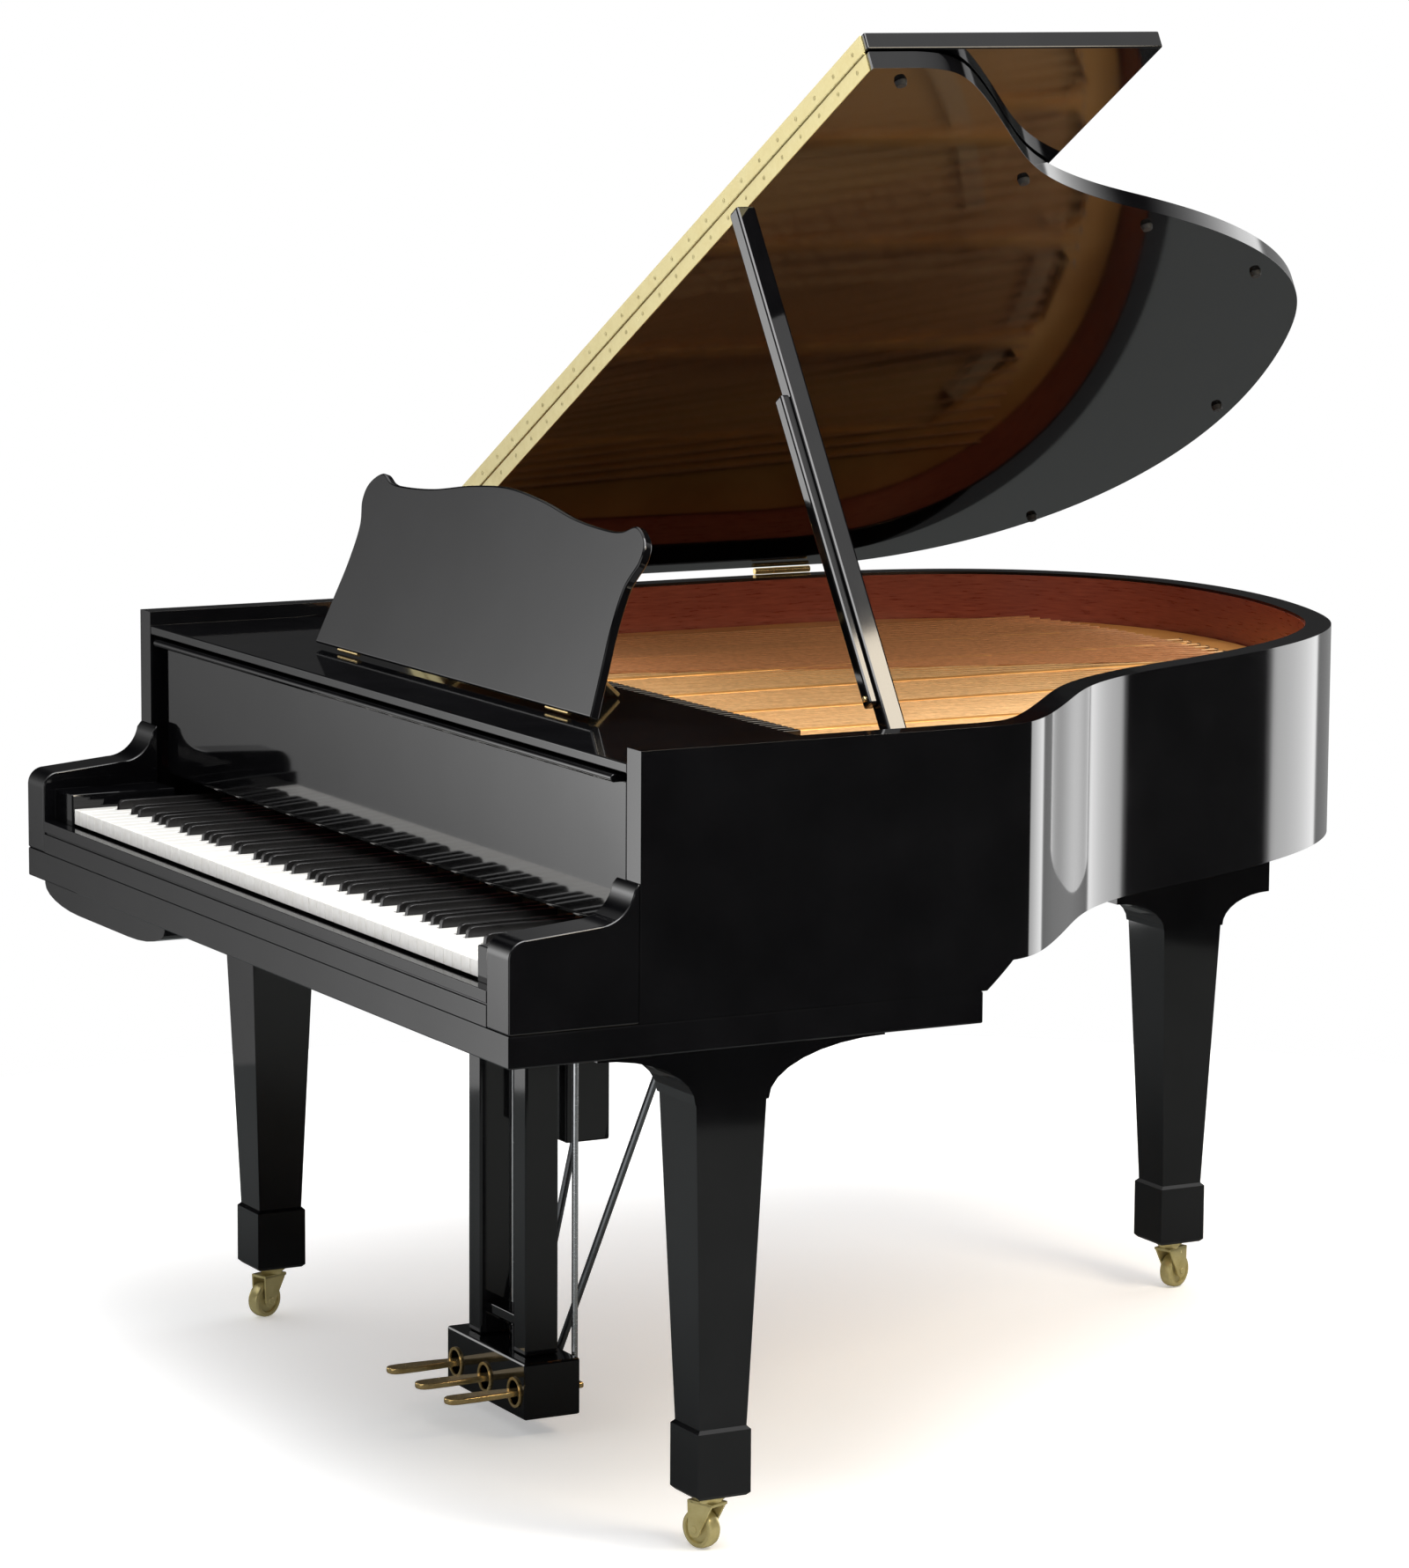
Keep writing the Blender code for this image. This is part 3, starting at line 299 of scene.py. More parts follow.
VENEER = streaked_material("red_veneer", (0.20, 0.036, 0.022), (0.36, 0.085, 0.048), 0.28, (0.4, 0.4, 5))
IVORY = streaked_material("key_ivory", (0.82, 0.80, 0.76), (0.92, 0.91, 0.89), 0.16)
EBONY = streaked_material("key_ebony", (0.006, 0.006, 0.006), (0.016, 0.015, 0.015), 0.22)
RED_FELT = felt_material("red_felt", (0.32, 0.012, 0.018))
RUBBER = rubber_material()


# Building helpers

def new_piece(name, bm, material, body, matrix=None):
    """Finish a mesh made in the working frame as a piece on a body."""
    bmesh.ops.recalc_face_normals(bm, faces=bm.faces)
    bm.transform(TO_WORLD @ matrix if matrix else TO_WORLD)
    mesh = bpy.data.meshes.new(name)
    bm.to_mesh(mesh)
    bm.free()
    soften(mesh)
    mesh.materials.append(material)
    piece = bpy.data.objects.new(name, mesh)
    bpy.context.scene.collection.objects.link(piece)
    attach(piece, body)
    return piece


def round_edges(piece, width, segments=3):
    bevel = piece.modifiers.new("rounded_edges", "BEVEL")
    bevel.width = width
    bevel.segments = segments
    bevel.limit_method = "ANGLE"
    bevel.angle_limit = SHARP_ANGLE
    bevel.harden_normals = True
    return piece


def add_block(bm, lowest, highest):
    centre = [(a + b) / 2 for a, b in zip(lowest, highest)]
    size = [b - a for a, b in zip(lowest, highest)]
    matrix = Matrix.Translation(centre) @ Matrix.Diagonal((*size, 1.0))
    return bmesh.ops.create_cube(bm, size=1.0, matrix=matrix)["verts"]


def add_rod(bm, start, end, radius, segments=16, end_radius=None):
    start, end = Vector(start), Vector(end)
    axis = end - start
    turn = axis.to_track_quat("Z", "Y").to_matrix().to_4x4()
    top = radius if end_radius is None else end_radius
    bmesh.ops.create_cone(bm, cap_ends=True, segments=segments, radius1=radius, radius2=top,
                          depth=axis.length, matrix=Matrix.Translation((start + end) / 2) @ turn)


def add_prism(bm, loop, place):
    """A closed prism: place(u, v, side) gives a point of the bottom (0) or top (1) outline."""
    bottom = [bm.verts.new(place(u, v, 0)) for u, v in loop]
    top = [bm.verts.new(place(u, v, 1)) for u, v in loop]
    bm.faces.new(bottom[::-1])
    bm.faces.new(top)
    count = len(loop)
    for index in range(count):
        after = (index + 1) % count
        bm.faces.new((bottom[index], bottom[after], top[after], top[index]))


def add_turned(bm, profile, matrix, segments=40):
    """A solid of revolution about local Z from (radius, z) points; ends lie on the axis."""
    rings = []
    for radius, z in profile:
        if radius < 1e-6:
            rings.append([bm.verts.new(matrix @ Vector((0, 0, z)))])
            continue
        ring = []
        for step in range(segments):
            angle = 2 * math.pi * step / segments
            point = Vector((radius * math.cos(angle), radius * math.sin(angle), z))
            ring.append(bm.verts.new(matrix @ point))
        rings.append(ring)
    for lower, upper in zip(rings, rings[1:]):
        for step in range(segments):
            after = (step + 1) % segments
            corners = [lower[step % len(lower)], lower[after % len(lower)],
                       upper[after % len(upper)], upper[step % len(upper)]]
            bm.faces.new(list(dict.fromkeys(corners)))


def plan(z_low, z_high):
    return lambda u, v, side: (u, v, z_high if side else z_low)


def side_view(x_low, x_high):
    return lambda u, v, side: (x_high if side else x_low, u, v)


def front_view(y_low, y_high):
    return lambda u, v, side: (u, y_high if side else y_low, v)


def outline_mesh(loops, z_low, z_high):
    """A flat outline with holes, filled by a 2D curve and returned as a bmesh."""
    curve = bpy.data.curves.new("outline", "CURVE")
    curve.dimensions = "2D"
    curve.fill_mode = "BOTH"
    curve.extrude = (z_high - z_low) / 2
    for loop in loops:
        spline = curve.splines.new("POLY")
        spline.points.add(len(loop) - 1)
        for point, (u, v) in zip(spline.points, loop):
            point.co = (u, v, 0.0, 1.0)
        spline.use_cyclic_u = True
    guide = bpy.data.objects.new("outline", curve)
    bpy.context.scene.collection.objects.link(guide)
    bpy.context.view_layer.update()
    evaluated = guide.evaluated_get(bpy.context.evaluated_depsgraph_get())
    mesh = bpy.data.meshes.new_from_object(evaluated)
    bm = bmesh.new()
    bm.from_mesh(mesh)
    bpy.data.meshes.remove(mesh)
    bpy.data.objects.remove(guide)
    bpy.data.curves.remove(curve)
    bmesh.ops.remove_doubles(bm, verts=bm.verts, dist=0.00001)
    bm.transform(Matrix.Translation((0, 0, (z_low + z_high) / 2)))
    return bm


def arc(centre, radius, start, end, steps=12):
    points = []
    for step in range(steps + 1):
        angle = math.radians(start + (end - start) * step / steps)
        points.append((centre[0] + radius * math.cos(angle), centre[1] + radius * math.sin(angle)))
    return points


def mirrored(points):
    return [(-u, v) for u, v in reversed(points)]


# The case's outline in plan

def smooth(points, steps):
    """A Catmull-Rom curve through points, from the second one to the last but one."""
    result = []
    for a, b, c, d in zip(points, points[1:], points[2:], points[3:]):
        for step in range(steps):
            t = step / steps
            result.append(tuple(
                0.5 * (2 * q + (r - p) * t + (2 * p - 5 * q + 4 * r - s) * t * t
                       + (3 * q - p - 3 * r + s) * t ** 3)
                for p, q, r, s in zip(a, b, c, d)))
    result.append(points[-2])
    return result


def relax(line, rounds):
    """Even out the bends of a line by averaging neighbours; its ends stay."""
    for _ in range(rounds):
        middle = [tuple((p + 2 * q + r) / 4 for p, q, r in zip(a, b, c))
                  for a, b, c in zip(line, line[1:], line[2:])]
        line = [line[0]] + middle + [line[-1]]
    return line


def case_curve():
    """Outer line of the rim: end of the treble cheek, bentside, round tail and spine."""
    half = CASE_HALF
    bentside = [(half, CHEEK_END - 0.20), (half, CHEEK_END - 0.10), (half, CHEEK_END), (0.705, 0.705),
                (0.600, 0.805), (0.472, 0.920), (0.392, 1.050), (0.340, 1.180), (0.280, 1.310)]
    tail = [(0.195, 1.440), (0.080, 1.545), (-0.080, 1.607), (-0.250, TAIL),
            (-0.410, 1.622), (-0.550, 1.560), (-0.655, 1.450), (-0.713, 1.310)]
    spine = [(-half, 1.160), (-half, 1.000), (-half, 0.900)]
    line = relax(smooth(bentside + tail + spine, 12), 25)
    return [(max(-half, min(half, x)), y) for x, y in line]


CURVE = case_curve()


def case_line(front):
    """The case's outline from its treble front corner round to the bass one."""
    curve = [point for point in CURVE if point[1] > front + 0.005]
    return [(CASE_HALF, front)] + curve + [(-CASE_HALF, front)]


def offset(line, distance):
    """Move an open line to its left by distance."""
    moved = []
    last = len(line) - 1
    for index, point in enumerate(line):
        before = Vector(line[max(index - 1, 0)])
        after = Vector(line[min(index + 1, last)])
        here = Vector(point)
        first = (here - before).normalized() if index else (after - here).normalized()
        second = (after - here).normalized() if index < last else first
        normal = Vector((-(first + second).y, (first + second).x)).normalized()
        stretch = max(normal.dot(Vector((-first.y, first.x))), 0.5)
        moved.append(tuple(here + normal * distance / stretch))
    return moved


def wall_loop(outer, inner, front):
    line = case_line(front)
    return offset(line, outer) + offset(line, inner)[::-1]


# Case pieces

def make_rim():
    """Rim wall, stepped up behind the keybed."""
    bm = outline_mesh([wall_loop(0.0, RIM_THICK, RIM_FRONT)], ARM_BASE, RIM_TOP)
    rim = new_piece("rim_shell", bm, LACQUER, "case")
    cutter = bmesh.new()
    base = ARM_BASE - 0.05
    step = [(CHEEK_END - 0.018, base), (TAIL + 0.1, base), (TAIL + 0.1, RIM_BOTTOM),
            (CHEEK_END + 0.020, RIM_BOTTOM), (CHEEK_END - 0.018, ARM_BASE)]
    add_prism(cutter, step, side_view(-1, 1))
    cut_with(rim, cutter)
    round_edges(rim, 0.0016)
    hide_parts("outer_rim")


def cut_with(piece, cutter_bm):
    """Cut a piece with a closed mesh of the working frame, and apply the cut."""
    bmesh.ops.recalc_face_normals(cutter_bm, faces=cutter_bm.faces)
    cutter_bm.transform(TO_WORLD)
    mesh = bpy.data.meshes.new("cutter")
    cutter_bm.to_mesh(mesh)
    cutter_bm.free()
    cutter = bpy.data.objects.new("cutter", mesh)
    bpy.context.scene.collection.objects.link(cutter)
    cut = piece.modifiers.new("cut", "BOOLEAN")
    cut.object = cutter
    cut.solver = "EXACT"
    bpy.context.view_layer.update()
    evaluated = piece.evaluated_get(bpy.context.evaluated_depsgraph_get())
    result = bpy.data.meshes.new_from_object(evaluated)
    piece.modifiers.remove(cut)
    old = piece.data
    piece.data = result
    bpy.data.meshes.remove(old)
    bpy.data.objects.remove(cutter)
    soften(result)


def make_arm(side, where):
    """Arm beside the keys: round nose, level top and a sweep up towards the rim."""
    top = 0.767
    nose = arc((0.022, top - 0.024), 0.022, 180, 90)
    sweep = arc((RIM_FRONT - 0.052, top + 0.052), 0.046, 270, 350)
    loop = [(0.0, ARM_BASE)] + nose + sweep
    loop += [(RIM_FRONT - 0.0002, RIM_TOP - 0.15), (RIM_FRONT - 0.0002, ARM_BASE)]
    inner, outer = side * ARM_INNER, side * CASE_HALF
    bm = bmesh.new()
    add_prism(bm, loop, side_view(min(inner, outer), max(inner, outer)))
    arm = new_piece("cheek_arm_" + where, bm, LACQUER, "case")
    round_edges(arm, 0.0025)
    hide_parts("arm_" + where)


def make_inner_rim():
    bm = outline_mesh([wall_loop(RIM_THICK + 0.0003, RIM_THICK + 0.036, 0.6053)],
                      low("inner_rim").z, high("inner_rim").z)
    rim = new_piece("inner_rim_shell", bm, BEECH, "case")
    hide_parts("inner_rim")


def make_rim_lining():
    """Thin red-brown veneer on the inside of the rim above the soundboard."""
    inside = RIM_THICK + 0.0002
    bm = outline_mesh([wall_loop(inside, inside + 0.0012, 0.55)], PLATE_TOP - 0.030, RIM_TOP - 0.004)
    new_piece("rim_lining", bm, VENEER, "case")


def make_soundboard_ribs():
    """Spruce ribs glued under the soundboard, and the beams that tie belly rail and tail."""
    bm = bmesh.new()
    top = low("soundboard").z - 0.0004
    for index in range(7):
        start = Vector((-0.600, 0.700 + index * 0.115, 0))
        end = Vector((0.480 - index * 0.085, 0.640 + index * 0.085, 0))
        along = (end - start).normalized()
        across = Vector((-along.y, along.x, 0)) * 0.011
        loop = [start - across, end - across, end + across, start + across]
        add_prism(bm, [(p.x, p.y) for p in loop], plan(top - 0.022, top))
    ribs = new_piece("soundboard_ribs", bm, SPRUCE, "case")
    round_edges(ribs, 0.003)
    bm = bmesh.new()
    for front_x, back_x, back_y in ((-0.45, -0.40, 1.46), (-0.10, -0.19, 1.50), (0.28, 0.06, 1.36)):
        loop = [(front_x - 0.03, 0.606), (front_x + 0.03, 0.606), (back_x + 0.03, back_y),
                (back_x - 0.03, back_y)]
        add_prism(bm, loop, plan(0.705, 0.770))
    beams = new_piece("case_beams", bm, BEECH, "case")
    round_edges(beams, 0.004)


def window(left, right, front, back_left, back_right):
    """An opening of the iron plate between two bars."""
    corner = 0.022
    return (arc((left + corner, front + corner), corner, 180, 270, 8)
            + arc((right - corner, front + corner), corner, 270, 360, 8)
            + [(right, back_right - corner), (right - corner, back_right),
               (left + corner, back_left), (left, back_left - corner)])


def plate_windows():
    return [window(0.440, 0.580, 0.600, 0.830, 0.700), window(0.280, 0.415, 0.600, 1.040, 0.870),
            window(0.110, 0.255, 0.600, 1.360, 1.150), window(-0.060, 0.085, 0.600, 1.500, 1.430),
            window(-0.230, -0.085, 0.600, 1.530, 1.520), window(-0.400, -0.255, 0.600, 1.520, 1.530),
            window(-0.560, -0.425, 0.600, 1.410, 1.500)]


def make_plate():
    """Gold iron plate with its windows, round ports at the front and ribs on the bars."""
    front = low("iron_plate").y - FRONT_Y
    outline = offset(case_line(front), RIM_THICK + 0.006)
    ports = []
    for index in range(9):
        ports.append(arc((-0.56 + index * 0.14, 0.560), 0.016, 0, 345, 23))
    bm = outline_mesh([outline] + plate_windows() + ports, PLATE_BOTTOM, PLATE_TOP)
    plate = new_piece("plate_casting", bm, GOLD_IRON, "case")
    round_edges(plate, 0.0022)
    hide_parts("iron_plate")
    bm = bmesh.new()
    for x, back in ((0.4275, 0.85), (0.2675, 1.08), (0.0975, 1.40), (-0.0725, 1.50),
                    (-0.2425, 1.52), (-0.4125, 1.50)):
        add_block(bm, (x - 0.007, 0.50, PLATE_TOP - 0.001), (x + 0.007, back, PLATE_TOP + 0.0042))
    add_block(bm, (-0.66, 0.515, PLATE_TOP - 0.001), (0.66, 0.530, PLATE_TOP + 0.0042))
    ribs = new_piece("plate_ribs", bm, GOLD_IRON, "case")
    round_edges(ribs, 0.0020)


def hitch_line():
    """Where the treble strings end, from the tail round the bentside to the cheek."""
    return smooth([(-0.45, 1.56), (-0.34, 1.545), (-0.10, 1.510), (0.08, 1.430), (0.20, 1.270),
                   (0.29, 1.080), (0.38, 0.930), (0.52, 0.800), (0.625, 0.690), (0.66, 0.640)], 10)


def along_line(line, t):
    place = t * (len(line) - 1)
    index = min(int(place), len(line) - 2)
    a, b = Vector(line[index]), Vector(line[index + 1])
    return a.lerp(b, place - index)


TREBLE_NOTES = 62
BASS_NOTES = 26


def make_treble_strings():
    """Three plain steel strings to a note, from the pins to the hitch line."""
    line = hitch_line()
    bm = bmesh.new()
    pins = bmesh.new()
    z = PLATE_TOP + 0.0024
    for note in range(TREBLE_NOTES):
        t = note / (TREBLE_NOTES - 1)
        front_x = -0.335 + 0.965 * t
        back = along_line(line, 0.04 + 0.93 * t)
        for string in (-1, 0, 1):
            shift = string * 0.0032
            pin_y = 0.470 - 0.022 * (string + 1) - 0.010 * (note % 2)
            start = (front_x + shift, pin_y, z)
            end = (back.x + shift, back.y, z)
            add_rod(bm, start, end, 0.00065, 5)
            add_pin(pins, front_x + shift, pin_y)
            add_rod(pins, (back.x + shift, back.y, z - 0.004),
                    (back.x + shift, back.y, z + 0.0015), 0.0012, 6)
    # The strings' gold tint is a painted reflection of the plate.
    new_piece("treble_strings", bm, PAINTED_REFLECTION_STRING_STEEL, "case")
    new_piece("treble_pins", pins, STEEL, "case")


def add_pin(bm, x, y):
    """A tuning pin leaning a little towards the player."""
    foot = (x, y, PLATE_TOP - 0.001)
    head = (x, y - 0.002, PLATE_TOP + 0.021)
    add_rod(bm, foot, head, 0.0028, 8, 0.0024)


def make_bass_strings():
    """Copper-wound strings that cross over the tenor towards the tail."""
    bm = bmesh.new()
    pins = bmesh.new()
    z = PLATE_TOP + 0.0041
    for note in range(BASS_NOTES):
        t = note / (BASS_NOTES - 1)
        front_x = -0.640 + 0.290 * t
        back = Vector((-0.585 + 0.520 * t, 1.395 + 0.115 * math.sin(math.pi * (0.25 + 0.5 * t))))
        strings = (0,) if note < 9 else (-1, 1)
        for string in strings:
            shift = string * 0.0024
            pin_y = 0.440 - 0.022 * string - 0.012 * (note % 2)
            radius = 0.0017 - 0.0007 * t
            add_rod(bm, (front_x + shift, pin_y + 0.09, z), (back.x + shift, back.y, z - 0.0005), radius, 6)
            add_rod(bm, (front_x + shift, pin_y, z), (front_x + shift, pin_y + 0.09, z), 0.0006, 5)
            add_pin(pins, front_x + shift, pin_y)
    new_piece("bass_strings", bm, COPPER, "case")
    new_piece("bass_pins", pins, STEEL, "case")


def make_dampers():
    """Black damper heads on felt, in a row over the strings."""
    heads = bmesh.new()
    felts = bmesh.new()
    for note in range(DAMPERS):
        t = note / (DAMPERS - 1)
        x = -0.625 + 0.985 * t
        y = 0.548 + 0.012 * t
        add_block(heads, (x - 0.0045, y - 0.022, PLATE_TOP + 0.0105),
                  (x + 0.0045, y + 0.014, PLATE_TOP + 0.019))
        add_block(felts, (x - 0.0040, y - 0.020, PLATE_TOP + 0.0062),
                  (x + 0.0040, y + 0.012, PLATE_TOP + 0.0103))
    round_edges(new_piece("damper_heads", heads, LACQUER, "case"), 0.0012, 2)
    new_piece("damper_felts", felts, RED_FELT, "case")


# Keyboard

def sharp_after(white):
    """True if a sharp lies between this white key and the next (white 0 is the lowest A)."""
    return 0 <= white < 51 and white % 7 not in (1, 4)


def white_edge(white):
    return (white - 26) * WHITE_PITCH


def white_loop(white):
    """Plan of one white key, cut back beside its sharps."""
    side = 0.0009
    left = white_edge(white) + KEY_GAP / 2
    right = white_edge(white + 1) - KEY_GAP / 2
    tail_left = white_edge(white) + SHARP_WIDTH / 2 + side if sharp_after(white - 1) else left
    tail_right = white_edge(white + 1) - SHARP_WIDTH / 2 - side if sharp_after(white) else right
    shoulder = SHARP_FRONT - 0.0012
    loop = [(left, KEY_FRONT), (right, KEY_FRONT)]
    loop += [(right, shoulder), (tail_right, shoulder)] if sharp_after(white) else []
    loop += [(tail_right, WHITE_BACK), (tail_left, WHITE_BACK)]
    loop += [(tail_left, shoulder), (left, shoulder)] if sharp_after(white - 1) else []
    return loop


def make_white_keys(body, first, last):
    bm = bmesh.new()
    for white in range(first, last + 1):
        add_prism(bm, white_loop(white), plan(KEY_BOTTOM, KEY_TOP))
    keys = new_piece(body + "_tops", bm, IVORY, body)
    round_edges(keys, 0.0009)
    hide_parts(body)


def make_sharps(body, first, last):
    """Sharps with sloping fronts and sides that lean in towards the top."""
    profile = [(SHARP_FRONT, KEY_BOTTOM), (SHARP_BACK - 0.0003, KEY_BOTTOM),
               (SHARP_BACK - 0.0003, SHARP_TOP)]
    profile += [(SHARP_FRONT + 0.011, SHARP_TOP)]
    profile += [(SHARP_FRONT + 0.0065, SHARP_TOP - 0.0012), (SHARP_FRONT + 0.0035, SHARP_TOP - 0.0055)]
    bm = bmesh.new()
    whites = [white for white in range(first, last + 1) if sharp_after(white)]
    for white in whites:
        centre = white_edge(white + 1)
        half = SHARP_WIDTH / 2
        before = set(bm.verts)
        add_prism(bm, profile, side_view(centre - half, centre + half))
        for vert in set(bm.verts) - before:
            if vert.co.z > SHARP_TOP - 0.007:
                vert.co.x = centre + (vert.co.x - centre) * 0.80
    sharps = new_piece(body + "_tops", bm, EBONY, body)
    round_edges(sharps, 0.0011)
    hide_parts(body)


def make_keyboard():
    make_white_keys("white_keys_bass", 0, 22)
    make_white_keys("white_key_c4", 23, 23)
    make_white_keys("white_key_d4", 24, 24)
    make_white_keys("white_keys_treble", 25, 51)
    make_sharps("sharps_bass", 0, 22)
    make_sharps("sharp_c4", 23, 23)
    make_sharps("sharps_treble", 24, 51)
    half = WHITE_PITCH * 26
    bm = bmesh.new()
    add_block(bm, (-half, SHARP_BACK + 0.0055, KEY_TOP + 0.019),
              (half, SHARP_BACK + 0.0078, SHARP_TOP + 0.04))
    new_piece("name_board_felt", bm, RED_FELT, "case")
    # Key frame under the keys, coloured black: painted shade beneath the keys.
    bm = bmesh.new()
    add_block(bm, (-half, KEY_FRONT + 0.02, low("key_slip").z + 0.0003),
              (half, SHARP_BACK, KEY_BOTTOM - 0.016))
    bed = new_piece("key_frame_painted_shade", bm, RUBBER, "case")
    round_edges(bed, 0.002)


# Fallboard, shelf and desk

def make_fallboard():
    """Fallboard leaf with a rounded lip."""
    pivot = Vector(JOINTS["fallboard_hinge"]["pos_m"]) - Vector((CENTRE_X, FRONT_Y, 0))
    y, z = pivot.y, pivot.z
    half_thick = 0.007
    top = high("fallboard").z
    front = low("fallboard").y - FRONT_Y
    loop = arc((y, z), half_thick, 180, 360, 16)
    loop += arc((y + half_thick - 0.004, top - 0.004), 0.004, 0, 90, 6)
    loop += arc((front + LIP_RADIUS, top - LIP_RADIUS), LIP_RADIUS, 90, 270, 12)
    loop.append((y - half_thick, top - 2 * LIP_RADIUS))
    half = high("fallboard").x - CENTRE_X
    bm = bmesh.new()
    add_prism(bm, loop, side_view(-half, half))
    board = new_piece("fallboard_leaf", bm, LACQUER, "fallboard")
    round_edges(board, 0.0015)
    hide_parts("fallboard")


def make_music_shelf():
    lowest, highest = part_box("music_shelf")
    half = (highest.x - lowest.x) / 2
    back = highest.y - FRONT_Y
    inner = SHELF_ARM_INNER
    nose = half - inner
    right = [(half, RIM_FRONT)] + arc((inner, back - nose), nose, 0, 90, 16) + [(inner, SHELF_MIDDLE_BACK)]
    bm = bmesh.new()
    add_prism(bm, right + mirrored(right), plan(lowest.z, highest.z))
    shelf = new_piece("music_shelf_board", bm, LACQUER, "shelf")
    round_edges(shelf, 0.002)
    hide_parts("music_shelf")


def desk_half_outline():
    """Right half of the desk, u across and v up from its hinge: waisted side, ear, low hump."""
    half, top = DESK_HALF, DESK_TOP
    waist = half - DESK_WAIST
    shoulder = top - DESK_SHOULDER
    points = [(half, -0.020), (half, -0.010), (half - 0.010, 0.045), (waist, 0.100), (waist, 0.150),
              (half - 0.003, shoulder - 0.030), (half - 0.008, shoulder - 0.005),
              (half - 0.038, shoulder + 0.011), (half - 0.070, shoulder + 0.002), (0.285, shoulder),
              (0.200, shoulder + 0.005), (0.100, top - 0.007), (0.0, top), (-0.100, top - 0.007)]
    return smooth(points, 10)[:-1]


def make_music_desk():
    """Desk board with a raised middle, leaning back, and the hinges it turns on."""
    joint = JOINTS["desk_tilt"]
    pivot = Vector(joint["pos_m"]) - Vector((CENTRE_X, FRONT_Y, 0))
    lean = math.radians(90 + joint["range_deg"][0])
    matrix = Matrix.Translation(pivot) @ Matrix.Rotation(-lean, 4, "X")
    right = desk_half_outline()
    bm = bmesh.new()
    add_prism(bm, right + [(0.0, DESK_TOP)] + mirrored(right), front_view(-0.006, 0.006))
    desk = new_piece("music_desk_board", bm, LACQUER, "desk", matrix)
    round_edges(desk, 0.0030, 4)
    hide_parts("music_desk")
    bm = bmesh.new()
    for x in (-0.30, 0.30):
        add_rod(bm, (x - 0.030, 0.0, -0.0105), (x + 0.030, 0.0, -0.0105), 0.0028, 16)
    new_piece("desk_hinge_pins", bm, BRASS, "desk", matrix)


# Lid

def lid_loop(front):
    line = offset(case_line(front), -LID_OVERHANG)
    return [(max(x, LID_SPINE), y) for x, y in line]


def make_main_lid():
    bm = outline_mesh([lid_loop(FLAP_LINE + 0.0021)], LID_BOTTOM, LID_TOP)
    lid = new_piece("lid_board", bm, LACQUER, "lid", OPEN_LID)
    round_edges(lid, 0.0022, 4)
    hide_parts("lid_main")


def make_flap():
    bm = bmesh.new()
    add_block(bm, (LID_SPINE, RIM_FRONT - LID_OVERHANG, LID_BOTTOM),
              (CASE_HALF + LID_OVERHANG, FLAP_LINE - 0.0021, LID_TOP))
    flap = new_piece("flap_board", bm, LACQUER, "lid_flap", OPEN_LID @ FOLD_FLAP)
    round_edges(flap, 0.0022, 4)
    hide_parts("lid_flap")


def make_leaf(side, body, node, matrix, first_knuckle):
    """One brass leaf of the continuous hinge, with every other knuckle and its screws."""
    bm = bmesh.new()
    start, end = LID_SPINE + 0.005, CASE_HALF + 0.003
    near, far = sorted((FLAP_LINE + side * 0.0003, FLAP_LINE + side * 0.0018))
    add_block(bm, (start, near, LID_BOTTOM + 0.0005), (end, far, LID_TOP - 0.0002))
    pitch = (end - start) / 58
    for index in range(first_knuckle, 58, 2):
        x = start + index * pitch
        add_rod(bm, (x + 0.0006, FLAP_LINE, FLAP_PIN_Z), (x + pitch - 0.0006, FLAP_LINE, FLAP_PIN_Z),
                0.0016, 10)
    for index in range(28):
        x = start + (index + 0.5) * (end - start) / 28
        face = near if side > 0 else far
        add_rod(bm, (x, face, LID_BOTTOM + 0.012), (x, face - side * 0.00025, LID_BOTTOM + 0.012),
                0.0030, 14, 0.0024)
    leaf = new_piece(node + "_strip", bm, PALE_BRASS, body, matrix)
    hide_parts(node)


def make_lid_buttons():
    """Rubber buttons under the lid that meet the rim when it is closed."""
    bm = bmesh.new()
    spots = ((0.708, 0.62), (0.452, 0.925), (0.318, 1.18), (0.175, 1.43), (-0.245, 1.612), (-0.60, 1.50))
    for x, y in spots:
        add_rod(bm, (x, y, LID_BOTTOM + 0.0002), (x, y, LID_BOTTOM - 0.0068), 0.008, 24, 0.0062)
    buttons = new_piece("lid_buttons", bm, RUBBER, "lid", OPEN_LID)
    round_edges(buttons, 0.0012, 2)
    bm = bmesh.new()
    for x in (0.708, -0.708):
        add_rod(bm, (x, 0.20, LID_BOTTOM + 0.0002), (x, 0.20, LID_BOTTOM - 0.0068), 0.008, 24, 0.0062)
    buttons = new_piece("flap_buttons", bm, RUBBER, "lid_flap", OPEN_LID @ FOLD_FLAP)
    round_edges(buttons, 0.0012, 2)


def make_lid_hinge(where):
    """Spine hinge: plate with screws on the rim and a barrel in three knuckles."""
    x, z = LID_AXIS.x, LID_AXIS.z
    face = -CASE_HALF
    front = low("lid_hinge_" + where).y - FRONT_Y
    back = high("lid_hinge_" + where).y - FRONT_Y
    third = (back - front) / 3
    bm = bmesh.new()
    add_block(bm, (face - 0.0030, front, RIM_TOP - 0.055), (face - 0.0002, back, RIM_TOP - 0.002))
    for index in range(3):
        start = front + index * third
        middle = start + third / 2
        add_rod(bm, (x, start + 0.0004, z), (x, start + third - 0.0004, z), 0.0045, 20)
        add_rod(bm, (face - 0.0028, middle, RIM_TOP - 0.034),
                (face - 0.0046, middle, RIM_TOP - 0.034), 0.0055, 20, 0.0045)
    hinge = new_piece("lid_hinge_plate_" + where, bm, BRASS, "case")
    round_edges(hinge, 0.0004, 2)
    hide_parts("lid_hinge_" + where)


